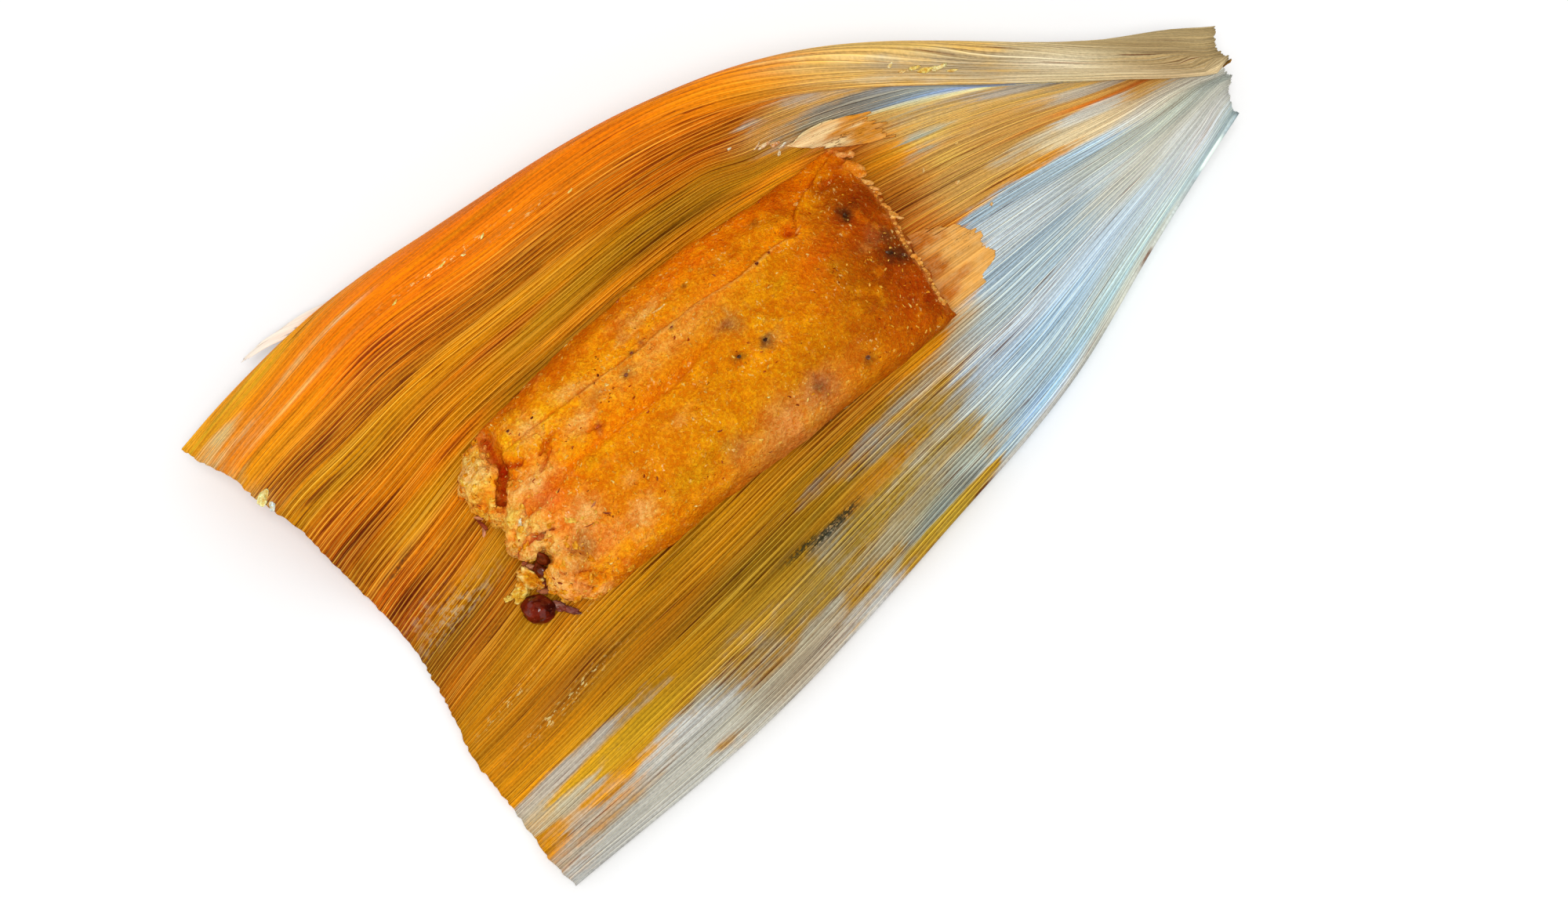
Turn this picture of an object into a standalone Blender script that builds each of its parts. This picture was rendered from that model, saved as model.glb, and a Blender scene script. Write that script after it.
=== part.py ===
"""Unwrapped tamale: a broken-ended length of masa with beans, lying on its opened corn husk.

Frame: metres, +X along the husk from its cut end to its gathered tip, +Y to the side that rolls up,
+Z up. The husk's flat underside lies on z = 0 and the origin is the centre of the husk's outline.
"""
import math

import bpy
import numpy as np
from mathutils.bvhtree import BVHTree

MM = 0.001

# Husk: overall size and sheet
HUSK_THICKNESS = 1.0 * MM
HUSK_STEPS_LONG = 40
HUSK_STEPS_ACROSS = 36
PROFILE_STEPS = 48                     # samples on each stretch of a cross-section

# Ends of the fibres, as (fraction of the way across, x in mm), from the flat side to the rolled side
CUT_END_X = [(0.0, -106.6), (0.25, -106.5), (0.5, -103.2), (0.72, -107.5), (0.86, -112.0), (1.0, -118.0)]
TIP_END_X = [(0.0, 109.7), (0.3, 113.5), (0.6, 116.0), (1.0, 118.6)]

# Lines along the husk, as (fraction of the length from the cut end, value in mm)
FLAT_EDGE_Y = [(0.0, -65.6), (0.25, -61.0), (0.5, -50.2), (0.7, -39.6), (0.85, -26.5), (1.0, -13.9)]
FLAT_EDGE_Z = [(0.0, 3.0), (0.25, 3.0), (0.5, 4.5), (0.7, 6.5), (0.85, 9.0), (1.0, 10.5)]
FLOOR_Z = [(0.0, 0.0), (0.62, 0.0), (0.68, 0.0), (0.78, 1.4), (0.9, 5.0), (1.0, 8.6)]
FOOT_Y = [(0.0, 0.0), (0.1, 12.0), (0.2, 22.0), (0.35, 28.0), (0.5, 31.0), (0.62, 31.5), (0.75, 20.0),
          (0.88, 6.0), (1.0, -6.0)]
CREST_Y = [(0.0, 36.0), (0.1, 50.0), (0.2, 56.0), (0.35, 58.2), (0.5, 56.5), (0.6, 51.5), (0.72, 38.5),
           (0.88, 15.0), (1.0, -3.0)]
CREST_Z = [(0.0, 13.5), (0.1, 18.5), (0.2, 23.0), (0.35, 26.3), (0.5, 27.2), (0.7, 25.0), (0.88, 17.6),
           (1.0, 11.6)]
LIP_Y = [(0.0, 59.0), (0.07, 63.5), (0.16, 69.0), (0.3, 68.0), (0.5, 64.0), (0.68, 51.0), (0.8, 32.5),
         (0.88, 20.5), (1.0, 5.7)]
LIP_Z = [(0.0, 9.5), (0.07, 9.0), (0.16, 5.0), (0.3, 3.0), (0.5, 3.5), (0.68, 6.0), (0.8, 8.5),
         (0.88, 11.0), (1.0, 13.0)]

# Shape of the wall: how far the curve runs level at its foot and under its crest (fractions of its width)
WALL_FOOT_RUN = [(0.0, 0.5), (0.5, 0.55), (0.7, 0.85), (1.0, 0.8)]
WALL_CREST_RUN = [(0.0, 0.5), (0.5, 0.4), (0.7, 0.28), (1.0, 0.3)]
LIP_CREST_RUN = 0.6                    # how far the lip runs level from the crest
LIP_FLARE = 0.12                       # how far its free edge swings out again
LIP_FALL_RUN = 0.5                     # how much of its fall is in the steep stretch at its end
EDGE_CURL_SHARE = 0.3                  # part of the floor over which the flat side's edge curls up

# Masa: a slab on the husk, turned a little from the husk's length
MASA_GAP = 0.3 * MM
MASA_ORIGIN = (-68.0, 1.0)             # middle of its broken end, mm
MASA_TURN = math.radians(6.6)
MASA_HEIGHT = 20.0                     # mm, at the middle of its top
MASA_STEPS_LONG = 36
MASA_STEPS_ACROSS = 25
MASA_RIM_SHARE = 0.42                  # height of the widest line of its sides, as a share of the height
MASA_ROUNDING = 3.6                    # exponent of the rounded-off edges: 2 is round, higher is squarer

# Masa outline, as (distance in mm, value in mm): across from its long middle line and along from its broken end
BROKEN_END = [(-24.0, -2.0), (-18.0, -3.0), (-12.0, -1.5), (-6.0, -5.5), (0.0, -7.0), (5.0, -5.6),
              (14.0, -7.2), (20.0, -5.6), (25.0, 1.0)]
FAR_END = [(-24.0, 98.0), (-15.0, 100.0), (-6.0, 102.0), (2.0, 105.0), (12.0, 106.5), (18.0, 107.5),
           (25.0, 106.0)]
LEFT_SIDE = [(-7.0, 22.0), (16.0, 24.3), (38.0, 25.6), (60.0, 25.2), (82.0, 23.6), (107.0, 23.0)]
RIGHT_SIDE = [(-7.0, -19.5), (8.0, -21.0), (30.0, -22.2), (50.0, -23.6), (72.0, -24.8), (107.0, -24.8)]

# Relief of the masa's top: mm, with ranges along it from its broken end
DOME_FALL = 0.004                      # fall per square mm to each side of the middle
FAR_DROP = 10.5                        # fall to the thin far lip, over FAR_SLOPE
FAR_SLOPE = (60.0, 114.0)
BROKEN_DROP = 2.0                      # fall to the broken end, over BROKEN_SLOPE
BROKEN_SLOPE = (-8.0, 30.0)
STEP_LINE = [(-7.0, 15.5), (16.0, 13.4), (36.0, 11.4), (54.0, 10.0), (70.0, 8.8), (86.0, 12.0)]
STEP_HEIGHT = 1.3                      # the left shoulder lies this much lower
STEP_WIDTH = 2.0
STEP_FADE = (80.0, 90.0)
MAIN_GROOVE = [(-8.0, 0.8), (10.0, 2.0), (38.0, 0.6), (58.0, 3.0), (66.0, 4.0)]
SIDE_GROOVE = [(-8.0, -14.5), (10.0, -15.5), (40.0, -17.5), (70.0, -19.5)]
GROOVES = [(MAIN_GROOVE, 2.4, 2.2, (38.0, 66.0)),          # line, depth, half width, range it fades over
           (SIDE_GROOVE, 0.8, 2.4, (44.0, 74.0))]
CRACK_DEPTH = 7.0                      # crack that all but splits a lump off the broken end
CRACK_START = (4.5, 20.0)
CRACK_END = (-3.0, 7.0)
CRACK_WIDTH = 1.5

# Loose bits by the broken end: centre x and y, and full size, mm
BEAN = {"at": (-77.6, -12.6), "size": (7.0, 6.2, 5.4), "turn": -43.0}
BEAN_SHRED = {"at": (-72.4, -16.0), "size": (4.8, 2.4, 2.6), "turn": -50.0}
CRUMB = {"at": (-78.4, -5.9), "size": (6.8, 5.0, 5.6), "turn": 10.0}
BIT_STEPS = 12
BIT_RIM_SHARE = 0.45                   # height of the widest line, as a share of the height
BIT_LEAN = (0.18, -0.1)                # how much higher the top stands to one end and one side

COLOURS = {
    "husk": ((0.55, 0.33, 0.06), 0.55),
    "masa": ((0.80, 0.36, 0.04), 0.5),
    "bean": ((0.12, 0.025, 0.02), 0.25),
    "bean_shred": ((0.14, 0.06, 0.09), 0.4),
    "crumb": ((0.85, 0.45, 0.08), 0.6),
}


def through(points, place):
    """Smooth cubic curve through (place, value) points, held level past both ends."""
    places = np.array([p[0] for p in points])
    values = np.array([p[1] for p in points])
    slopes = np.gradient(values, places)
    place = np.clip(place, places[0], places[-1])
    i = np.clip(np.searchsorted(places, place, side="right") - 1, 0, len(places) - 2)
    step = places[i + 1] - places[i]
    t = (place - places[i]) / step
    return ((2 * t**3 - 3 * t**2 + 1) * values[i] + (t**3 - 2 * t**2 + t) * step * slopes[i]
            + (3 * t**2 - 2 * t**3) * values[i + 1] + (t**3 - t**2) * step * slopes[i + 1])


def smooth_step(low, high, x):
    """0 below low, 1 above high, eased between."""
    t = np.clip((x - low) / (high - low), 0.0, 1.0)
    return t * t * (3 - 2 * t)


def cubic_arc(start, start_pull, end_pull, end, t):
    """Cubic Bezier coordinate for arrays of end values."""
    return ((1 - t)**3 * start + 3 * t * (1 - t)**2 * start_pull
            + 3 * t**2 * (1 - t) * end_pull + t**3 * end)


def husk_profile(along):
    """Cross-sections (y, z) in mm at each fraction of the length: curled edge, floor, wall, crest, lip."""
    along = along[:, None]
    t = np.linspace(0, 1, PROFILE_STEPS)[None, :]
    edge_y, edge_z = through(FLAT_EDGE_Y, along), through(FLAT_EDGE_Z, along)
    floor = np.maximum(through(FLOOR_Z, along), 0.0)
    foot_y = through(FOOT_Y, along)
    crest_y, crest_z = through(CREST_Y, along), through(CREST_Z, along)
    lip_y, lip_z = through(LIP_Y, along), through(LIP_Z, along)

    floor_y = edge_y + t * (foot_y - edge_y)
    curl = np.clip(1 - t / EDGE_CURL_SHARE, 0, 1)**2
    floor_z = floor + (edge_z - floor) * curl

    wall = crest_y - foot_y
    wall_y = cubic_arc(foot_y, foot_y + through(WALL_FOOT_RUN, along) * wall,
                       crest_y - through(WALL_CREST_RUN, along) * wall, crest_y, t)
    wall_z = cubic_arc(floor, floor, crest_z, crest_z, t)

    lip = lip_y - crest_y
    drop = crest_z - lip_z
    lip_curve_y = cubic_arc(crest_y, crest_y + LIP_CREST_RUN * lip, lip_y - LIP_FLARE * lip, lip_y, t)
    lip_curve_z = cubic_arc(crest_z, crest_z, lip_z + LIP_FALL_RUN * drop, lip_z, t)
    return (np.concatenate([floor_y, wall_y[:, 1:], lip_curve_y[:, 1:]], axis=1),
            np.concatenate([floor_z, wall_z[:, 1:], lip_curve_z[:, 1:]], axis=1))


def husk_underside(along, across):
    """Points in metres of the sheet's lower face: across is the share of each section's girth."""
    y, z = husk_profile(along)
    girth = np.concatenate([np.zeros((len(along), 1)),
                            np.cumsum(np.hypot(np.diff(y), np.diff(z)), axis=1)], axis=1)
    points = np.empty((len(along), len(across), 3))
    cut_x, tip_x = through(CUT_END_X, across), through(TIP_END_X, across)
    for row in range(len(along)):
        wanted = across * girth[row, -1]
        points[row, :, 0] = cut_x + along[row] * (tip_x - cut_x)
        points[row, :, 1] = np.interp(wanted, girth[row], y[row])
        points[row, :, 2] = np.interp(wanted, girth[row], z[row])
    return points * MM


def surface_normals(points):
    """Unit normals of a grid of points, pointing up where the sheet lies flat."""
    normals = np.cross(np.gradient(points, axis=0), np.gradient(points, axis=1))
    return normals / np.linalg.norm(normals, axis=2, keepdims=True)


def masa_plan(along, across):
    """World x and y in mm of a place in the masa's own plan."""
    c, s = math.cos(MASA_TURN), math.sin(MASA_TURN)
    return MASA_ORIGIN[0] + along * c - across * s, MASA_ORIGIN[1] + along * s + across * c


def distance_to_segment(x, y, start, end):
    """Plan distance from points to a straight segment."""
    dx, dy = end[0] - start[0], end[1] - start[1]
    t = np.clip(((x - start[0]) * dx + (y - start[1]) * dy) / (dx * dx + dy * dy), 0, 1)
    return np.hypot(x - start[0] - t * dx, y - start[1] - t * dy)


def masa_top(along, across):
    """Height in mm of the masa's top: dome, slopes to both ends, shoulder step, grooves and crack."""
    height = MASA_HEIGHT - DOME_FALL * across**2
    height = height - FAR_DROP * smooth_step(*FAR_SLOPE, along)
    height = height - BROKEN_DROP * (1 - smooth_step(*BROKEN_SLOPE, along))
    shoulder = smooth_step(-STEP_WIDTH / 2, STEP_WIDTH / 2, across - through(STEP_LINE, along))
    height = height - STEP_HEIGHT * shoulder * (1 - smooth_step(*STEP_FADE, along))
    for line, depth, width, fade in GROOVES:
        groove = np.exp(-((across - through(line, along)) / width)**2)
        height = height - depth * groove * (1 - smooth_step(*fade, along))
    crack = distance_to_segment(along, across, CRACK_START, CRACK_END)
    return height - CRACK_DEPTH * np.exp(-(crack / CRACK_WIDTH)**2)


def eased_ring(count):
    """Superellipse spacing: places from -1 to 1 crowding to both ends, and the rounding-off there."""
    angle = np.linspace(-math.pi / 2, math.pi / 2, count)
    place = np.sign(angle) * np.abs(np.sin(angle))**(2 / MASA_ROUNDING)
    return place, np.abs(np.cos(angle))**(2 / MASA_ROUNDING)


def height_over(tree, x, y):
    """Height in mm of the sheet under each plan point, looking straight down."""
    heights = np.empty(x.shape)
    for place in np.ndindex(x.shape):
        hit = tree.ray_cast((x[place] * MM, y[place] * MM, 0.1), (0, 0, -1))[0]
        heights[place] = hit.z / MM
    return heights


def masa_faces(sheet):
    """Top and bottom grids in metres that share their rim and clear the sheet below by the gap."""
    long_place, long_round = eased_ring(MASA_STEPS_LONG)
    cross_place, cross_round = eased_ring(MASA_STEPS_ACROSS)
    share = (long_place[:, None] + 1) / 2
    cross = cross_place[None, :]
    across = 0.5 * (1 - cross) * RIGHT_SIDE[0][1] + 0.5 * (1 + cross) * LEFT_SIDE[0][1]
    start, end = through(BROKEN_END, across), through(FAR_END, across)
    along = start + share * (end - start)
    left, right = through(LEFT_SIDE, along), through(RIGHT_SIDE, along)
    across = 0.5 * (1 - cross) * right + 0.5 * (1 + cross) * left
    x, y = masa_plan(along, across)
    rounding = long_round[:, None] * cross_round[None, :]
    rounding[[0, -1], :] = 0
    rounding[:, [0, -1]] = 0
    base = height_over(sheet, x, y) + MASA_GAP / MM
    top = (HUSK_THICKNESS + MASA_GAP) / MM + masa_top(along, across)
    rim = base + MASA_RIM_SHARE * (top - base)
    upper = rim + (top - rim) * rounding
    lower = rim + (base - rim) * rounding
    return np.stack([x, y, upper], axis=2) * MM, np.stack([x, y, lower], axis=2) * MM


def bit_faces(bit):
    """Top and bottom grids of a small lump that rests just above the husk."""
    turn = math.radians(bit["turn"])
    length, width, height = bit["size"]
    place = np.sin(np.linspace(-math.pi / 2, math.pi / 2, BIT_STEPS))
    a, b = place[:, None], place[None, :]
    disc_x = a * np.sqrt(1 - b * b / 2)
    disc_y = b * np.sqrt(1 - a * a / 2)
    bulge = np.sqrt(np.clip(1 - disc_x**2 - disc_y**2, 0, None))
    bulge[[0, -1], :] = 0
    bulge[:, [0, -1]] = 0
    lean = 1 + BIT_LEAN[0] * disc_x + BIT_LEAN[1] * disc_y
    x = bit["at"][0] + 0.5 * (length * disc_x * math.cos(turn) - width * disc_y * math.sin(turn))
    y = bit["at"][1] + 0.5 * (length * disc_x * math.sin(turn) + width * disc_y * math.cos(turn))
    middle = (HUSK_THICKNESS + MASA_GAP) / MM + BIT_RIM_SHARE * height
    upper = middle + (1 - BIT_RIM_SHARE) * height * bulge * lean
    lower = middle - BIT_RIM_SHARE * height * bulge
    return np.stack([x, y, upper], axis=2) * MM, np.stack([x, y, lower], axis=2) * MM


def grid_quads(ids, flip):
    """Quads between neighbouring ids of a grid."""
    quads = np.stack([ids[:-1, :-1], ids[1:, :-1], ids[1:, 1:], ids[:-1, 1:]], axis=2).reshape(-1, 4)
    return quads[:, ::-1] if flip else quads


def rim_of(ids):
    """Ids around a grid's rim, in order."""
    return np.concatenate([ids[:-1, 0], ids[-1, :-1], ids[:0:-1, -1], ids[0, :0:-1]])


def solid_between(name, upper, lower, shared_rim):
    """One closed body between two grids, with a wall at the rim unless they share it."""
    count = upper.shape[0] * upper.shape[1]
    top_ids = np.arange(count).reshape(upper.shape[:2])
    low_ids = top_ids + count
    faces = [grid_quads(top_ids, False)]
    if shared_rim:
        low_ids[[0, -1], :] = top_ids[[0, -1], :]
        low_ids[:, [0, -1]] = top_ids[:, [0, -1]]
    else:
        top_rim, low_rim = rim_of(top_ids), rim_of(low_ids)
        faces.append(np.stack([top_rim, low_rim, np.roll(low_rim, -1), np.roll(top_rim, -1)], axis=1))
    faces.append(grid_quads(low_ids, True))
    faces = np.concatenate(faces)
    used, faces = np.unique(faces, return_inverse=True)
    points = np.concatenate([upper.reshape(-1, 3), lower.reshape(-1, 3)])[used]
    mesh = bpy.data.meshes.new(name)
    mesh.from_pydata(points.tolist(), [], faces.reshape(-1, 4).tolist())
    mesh.shade_smooth()
    colour, roughness = COLOURS[name]
    material = bpy.data.materials.new(name)
    material.use_nodes = True
    shader = material.node_tree.nodes["Principled BSDF"]
    shader.inputs["Base Color"].default_value = (*colour, 1.0)
    shader.inputs["Roughness"].default_value = roughness
    shader.inputs["Metallic"].default_value = 0.0
    mesh.materials.append(material)
    node = bpy.data.objects.new(name, mesh)
    bpy.context.scene.collection.objects.link(node)
    return node


def clear_scene():
    for old in list(bpy.data.objects):
        bpy.data.objects.remove(old, do_unlink=True)


def main():
    clear_scene()
    along = np.linspace(0, 1, HUSK_STEPS_LONG)
    across = np.linspace(0, 1, HUSK_STEPS_ACROSS)
    under = husk_underside(along, across)
    over = under + surface_normals(under) * HUSK_THICKNESS
    both = np.concatenate([under.reshape(-1, 3), over.reshape(-1, 3)])
    centre = (both.min(axis=0) + both.max(axis=0)) / 2 * (1, 1, 0)
    solid_between("husk", over - centre, under - centre, False)
    sheet = BVHTree.FromPolygons(over.reshape(-1, 3).tolist(),
                                 grid_quads(np.arange(over.shape[0] * over.shape[1]).reshape(over.shape[:2]),
                                            False).tolist())
    upper, lower = masa_faces(sheet)
    solid_between("masa", upper - centre, lower - centre, True)
    for name, bit in (("bean", BEAN), ("bean_shred", BEAN_SHRED), ("crumb", CRUMB)):
        upper, lower = bit_faces(bit)
        solid_between(name, upper - centre, lower - centre, True)


main()
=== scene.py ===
import math

import bpy
import numpy as np
from mathutils import Matrix, Vector


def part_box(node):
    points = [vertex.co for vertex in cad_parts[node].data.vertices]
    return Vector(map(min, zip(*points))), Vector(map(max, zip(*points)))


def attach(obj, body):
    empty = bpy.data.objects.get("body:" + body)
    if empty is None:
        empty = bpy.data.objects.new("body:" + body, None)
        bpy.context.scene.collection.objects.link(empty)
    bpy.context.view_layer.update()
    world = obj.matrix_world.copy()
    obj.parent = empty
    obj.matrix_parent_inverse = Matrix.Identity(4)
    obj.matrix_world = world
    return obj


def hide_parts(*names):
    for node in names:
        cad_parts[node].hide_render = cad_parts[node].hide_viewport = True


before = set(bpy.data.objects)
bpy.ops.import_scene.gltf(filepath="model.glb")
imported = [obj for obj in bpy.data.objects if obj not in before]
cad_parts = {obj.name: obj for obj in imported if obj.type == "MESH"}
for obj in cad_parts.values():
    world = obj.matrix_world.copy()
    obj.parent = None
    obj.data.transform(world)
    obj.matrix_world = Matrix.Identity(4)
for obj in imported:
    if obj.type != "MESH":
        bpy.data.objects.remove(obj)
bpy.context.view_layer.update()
mm = 0.001                                      # shapes are worked out in millimetres
print("frame loaded:", ", ".join(sorted(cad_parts)))


# curves and noise that every piece uses

def through(points, place, steady=False):
    # smooth cubic curve through (place, value) points, held level past both ends; a steady one never swings
    # past its points, because its slopes are harmonic means of the slopes on both sides
    places = np.array([p[0] for p in points], float)
    values = np.array([p[1] for p in points], float)
    slopes = np.gradient(values, places)
    if steady:
        rise = np.diff(values) / np.diff(places)
        before, after = np.append(0, rise), np.append(rise, 0)
        same = before * after > 0
        slopes = np.where(same, 2 * before * after / np.where(same, before + after, 1), 0)
    place = np.clip(place, places[0], places[-1])
    i = np.clip(np.searchsorted(places, place, side="right") - 1, 0, len(places) - 2)
    step = places[i + 1] - places[i]
    t = (place - places[i]) / step
    return ((2 * t**3 - 3 * t**2 + 1) * values[i] + (t**3 - 2 * t**2 + t) * step * slopes[i]
            + (3 * t**2 - 2 * t**3) * values[i + 1] + (t**3 - t**2) * step * slopes[i + 1])


def ease(low, high, x):
    # 0 below low, 1 above high, an s-curve between; low may be the larger of the two
    t = np.clip((x - low) / (high - low), 0.0, 1.0)
    return t * t * (3 - 2 * t)


def bezier(start, startPull, endPull, end, t):
    # cubic curve from start to end, pulled by two handles
    return ((1 - t)**3 * start + 3 * t * (1 - t)**2 * startPull
            + 3 * t**2 * (1 - t) * endPull + t**3 * end)


def bump(x, width):
    # bell of height 1 at x = 0
    return np.exp(-(x / width)**2)


def latticeNoise(x, y, z, seed):
    # random values on a whole-number lattice, eased between the eight corners round each point: -1 to 1
    table = np.random.default_rng(seed).uniform(-1, 1, 8192)
    x, y, z = np.broadcast_arrays(x, y, z)
    total = np.zeros(x.shape)
    cx, cy, cz = np.floor(x).astype(np.int64), np.floor(y).astype(np.int64), np.floor(z).astype(np.int64)
    fx, fy, fz = x - cx, y - cy, z - cz
    fx, fy, fz = fx * fx * (3 - 2 * fx), fy * fy * (3 - 2 * fy), fz * fz * (3 - 2 * fz)
    for dx in (0, 1):
        for dy in (0, 1):
            for dz in (0, 1):
                key = ((cx + dx) * 73856093 ^ (cy + dy) * 19349663 ^ (cz + dz) * 83492791) & 8191
                total += (table[key] * (fx if dx else 1 - fx) * (fy if dy else 1 - fy)
                          * (fz if dz else 1 - fz))
    return total


def layeredNoise(x, y, z, seed, layers):
    # sum of lattice noises, each twice as fine and half as strong as the one before
    total = np.zeros(np.broadcast(x, y, z).shape)
    for k in range(layers):
        total += latticeNoise(x * 2**k + 7.3 * k, y * 2**k - 3.1 * k, z * 2**k + 1.7 * k, seed + k) * 0.5**k
    return total


def paint(red, green, blue):
    # screen colour, 0 to 255, as a linear colour
    c = np.array([red, green, blue]) / 255
    return np.where(c <= 0.04045, c / 12.92, ((c + 0.055) / 1.055)**2.4)


def blend(a, b, share):
    share = np.clip(share, 0, 1)[..., None]
    return a * (1 - share) + b * share


def unitRows(rows):
    return rows / np.maximum(np.linalg.norm(rows, axis=-1, keepdims=True), 1e-12)


def gridNormals(points):
    # unit normals of a grid: the cross product of its two directions
    return unitRows(np.cross(np.gradient(points, axis=0), np.gradient(points, axis=1)))


def nearTo(a, b, row):
    # bell round the place (row 0, row 1) with the reaches (row 2, row 3): 1 at its middle
    return np.exp(-((a - row[0]) / row[2])**2 - ((b - row[1]) / row[3])**2)


def byNearness(a, b, rows, values, start, faint, widen=1.0):
    # average of the rows' values weighted by how near each row is, with a faint start value under them
    total, layer = np.full(a.shape, faint), faint * start * np.ones(a.shape + (1,))
    for row, value in zip(rows, values):
        weight = nearTo(a, b, (*row[:3], row[3] * widen))
        total += weight
        layer = layer + weight[..., None] * value
    return layer / total[..., None]


def tintOf(a, b, row):
    # the row's multipliers (from row 4 on), full at its middle and fading to 1 round it
    return np.exp(nearTo(a, b, row)[..., None] * np.log(np.array(row[4:])))


def column(rows, k):
    return np.array([row[k] for row in rows])


def byTone(groups):
    # rows kept under their tone's name, as one list of rows that end with it
    return [(*row, tone) for tone, rows in groups.items() for row in rows]


# meshes

def shareGrid(rows, columns):
    # two grids of shares from 0 to 1: down the rows, and along the columns
    return np.meshgrid(np.linspace(0, 1, rows), np.linspace(0, 1, columns), indexing="ij")


def gridIds(grid, first=0):
    # ids of a grid's points, counted from first
    rows, columns = grid.shape[:2]
    return first + np.arange(rows * columns).reshape(rows, columns)


def stacked(*grids):
    # the points of several grids as one list
    return np.concatenate([grid.reshape(-1, grid.shape[-1]) for grid in grids])


def gridQuads(ids, flip=False):
    # quads between neighbouring ids of a grid, counter-clockwise seen from above unless flipped
    quads = np.stack([ids[:-1, :-1], ids[1:, :-1], ids[1:, 1:], ids[:-1, 1:]], axis=2).reshape(-1, 4)
    return quads[:, ::-1] if flip else quads


def ringOf(ids):
    # the four sides of a grid's rim, in order round it, each with its last corner
    return [ids[:, 0], ids[-1, :], ids[::-1, -1], ids[0, ::-1]]


def makeMesh(name, points, faces, uv=None, colours=None, values=None, toFrame=None):
    # points in mm; colours and values are per point and become attributes of the mesh
    mesh = bpy.data.meshes.new(name)
    place = points.reshape(-1, 3) * mm + (toFrameShift if toFrame is None else toFrame)
    mesh.from_pydata(place.tolist(), [], faces)
    mesh.shade_smooth()
    if uv is not None:
        corner = np.empty(len(mesh.loops), dtype=np.int32)
        mesh.loops.foreach_get("vertex_index", corner)
        layer = mesh.uv_layers.new(name="fibreMap")
        layer.data.foreach_set("uv", uv.reshape(-1, 2)[corner].astype(np.float32).ravel())
    for key, colour in (colours or {}).items():
        rgba = np.ones((len(place), 4), dtype=np.float32)
        rgba[:, :3] = colour.reshape(-1, 3)
        mesh.attributes.new(key, "FLOAT_COLOR", "POINT").data.foreach_set("color", rgba.ravel())
    for key, value in (values or {}).items():
        mesh.attributes.new(key, "FLOAT", "POINT").data.foreach_set("value", value.ravel().astype(np.float32))
    piece = bpy.data.objects.new(name, mesh)
    bpy.context.scene.collection.objects.link(piece)
    return piece


def shellFaces(top, low):
    # closed shell between two grids of ids: both sheets, and a wall whose faces fan from every edge of the
    # coarser low grid to the several edges of the top grid over it
    faces = gridQuads(top).tolist() + gridQuads(low, True).tolist()
    for upper, lower in zip(ringOf(top), ringOf(low)):
        every = (len(upper) - 1) // (len(lower) - 1)
        for k in range(len(lower) - 1):
            over = upper[k * every:(k + 1) * every + 1]
            faces.append([over[0], lower[k], lower[k + 1], *over[:0:-1]])
    return faces


def closedSheet(top, low):
    # points and quads of a closed skin: two grids of places that share their rim
    topIds = gridIds(top)
    lowIds = topIds.copy()
    lowIds[1:-1, 1:-1] = gridIds(low[1:-1, 1:-1], topIds.size)
    return stacked(top, low[1:-1, 1:-1]), np.concatenate([gridQuads(topIds), gridQuads(lowIds, True)])


def ballGrid(count):
    # a unit ball: a square grid bent to a disc and domed, over its own mirror image
    u, v = np.meshgrid(np.linspace(-1, 1, count), np.linspace(-1, 1, count), indexing="ij")
    x, y = u * np.sqrt(1 - v**2 / 2), v * np.sqrt(1 - u**2 / 2)
    r = np.minimum(np.hypot(x, y), 1)
    swell = np.sin(r * math.pi / 2) / np.maximum(r, 1e-6)
    top = np.stack([x * swell, y * swell, np.cos(r * math.pi / 2)], axis=-1)
    return closedSheet(top, top * np.array([1, 1, -1]))


def makeLumps(name, places, sizes, turns, ups, colours, look):
    # one closed lump per row: a noisy ball stretched to its size, tapered and bent, its length turned on the
    # surface it lies on; bumps take the light tone as a painted highlight and hollows stay darker as painted
    # shade
    unit, quads = ballGrid(look["grid"])
    sizes, turns = np.asarray(sizes, float), np.radians(np.asarray(turns, float))
    own = np.arange(len(places))[:, None] * 9.7
    x, y, z = (unit[None, :, k] * look["wave"] for k in range(3))
    noise = layeredNoise(x + own, y, z, look["seed"], 3)
    shape = unit[None] * (1 + look["rough"] * noise)[..., None] * sizes[:, None, :] / 2
    shape[..., 1:] *= (1 - look["taper"] * (0.5 + 0.5 * unit[None, :, 0:1]))
    shape[..., 1] += look["bend"] * sizes[:, 0:1] * (unit[None, :, 0]**2 - 0.4)
    ups = unitRows(np.asarray(ups, float) * np.ones((len(places), 3)))
    ahead = np.stack([np.cos(turns), np.sin(turns), 0 * turns], axis=-1)
    ahead = unitRows(ahead - (ahead * ups).sum(axis=-1, keepdims=True) * ups)
    side = np.cross(ups, ahead)
    place = (np.asarray(places, float)[:, None] + shape[..., 0:1] * ahead[:, None]
             + shape[..., 1:2] * side[:, None] + shape[..., 2:3] * ups[:, None])
    # painted shade in hollows and painted highlight on bumps, from the noise that shapes the lump
    colour = np.asarray(colours, float)[:, None] * (1 + look["shade"] * noise)[..., None]
    colour = blend(colour, look["light"], look["lightShare"] * ease(0.1, 0.7, noise))
    faces = (quads[None] + (np.arange(len(place)) * len(unit))[:, None, None]).reshape(-1, 4)
    colours = {look["attribute"]: np.clip(colour, 0, 1)}
    return makeMesh(name, place.reshape(-1, 3), faces.tolist(), None, colours)


def finishPiece(piece, material, node=None):
    piece.data.materials.append(material)
    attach(piece, "root")
    if node:
        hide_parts(node)


def makeRowLumps(name, places, ups, look, material, node=None):
    # lumps from a table whose rows end with size, turn and tone
    sizes, turns, tones = list(zip(*look["rows"]))[-3:]
    piece = makeLumps(name, places, sizes, turns, ups, [paint(*tone) for tone in tones], look)
    finishPiece(piece, material, node)


# shader helpers

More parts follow.
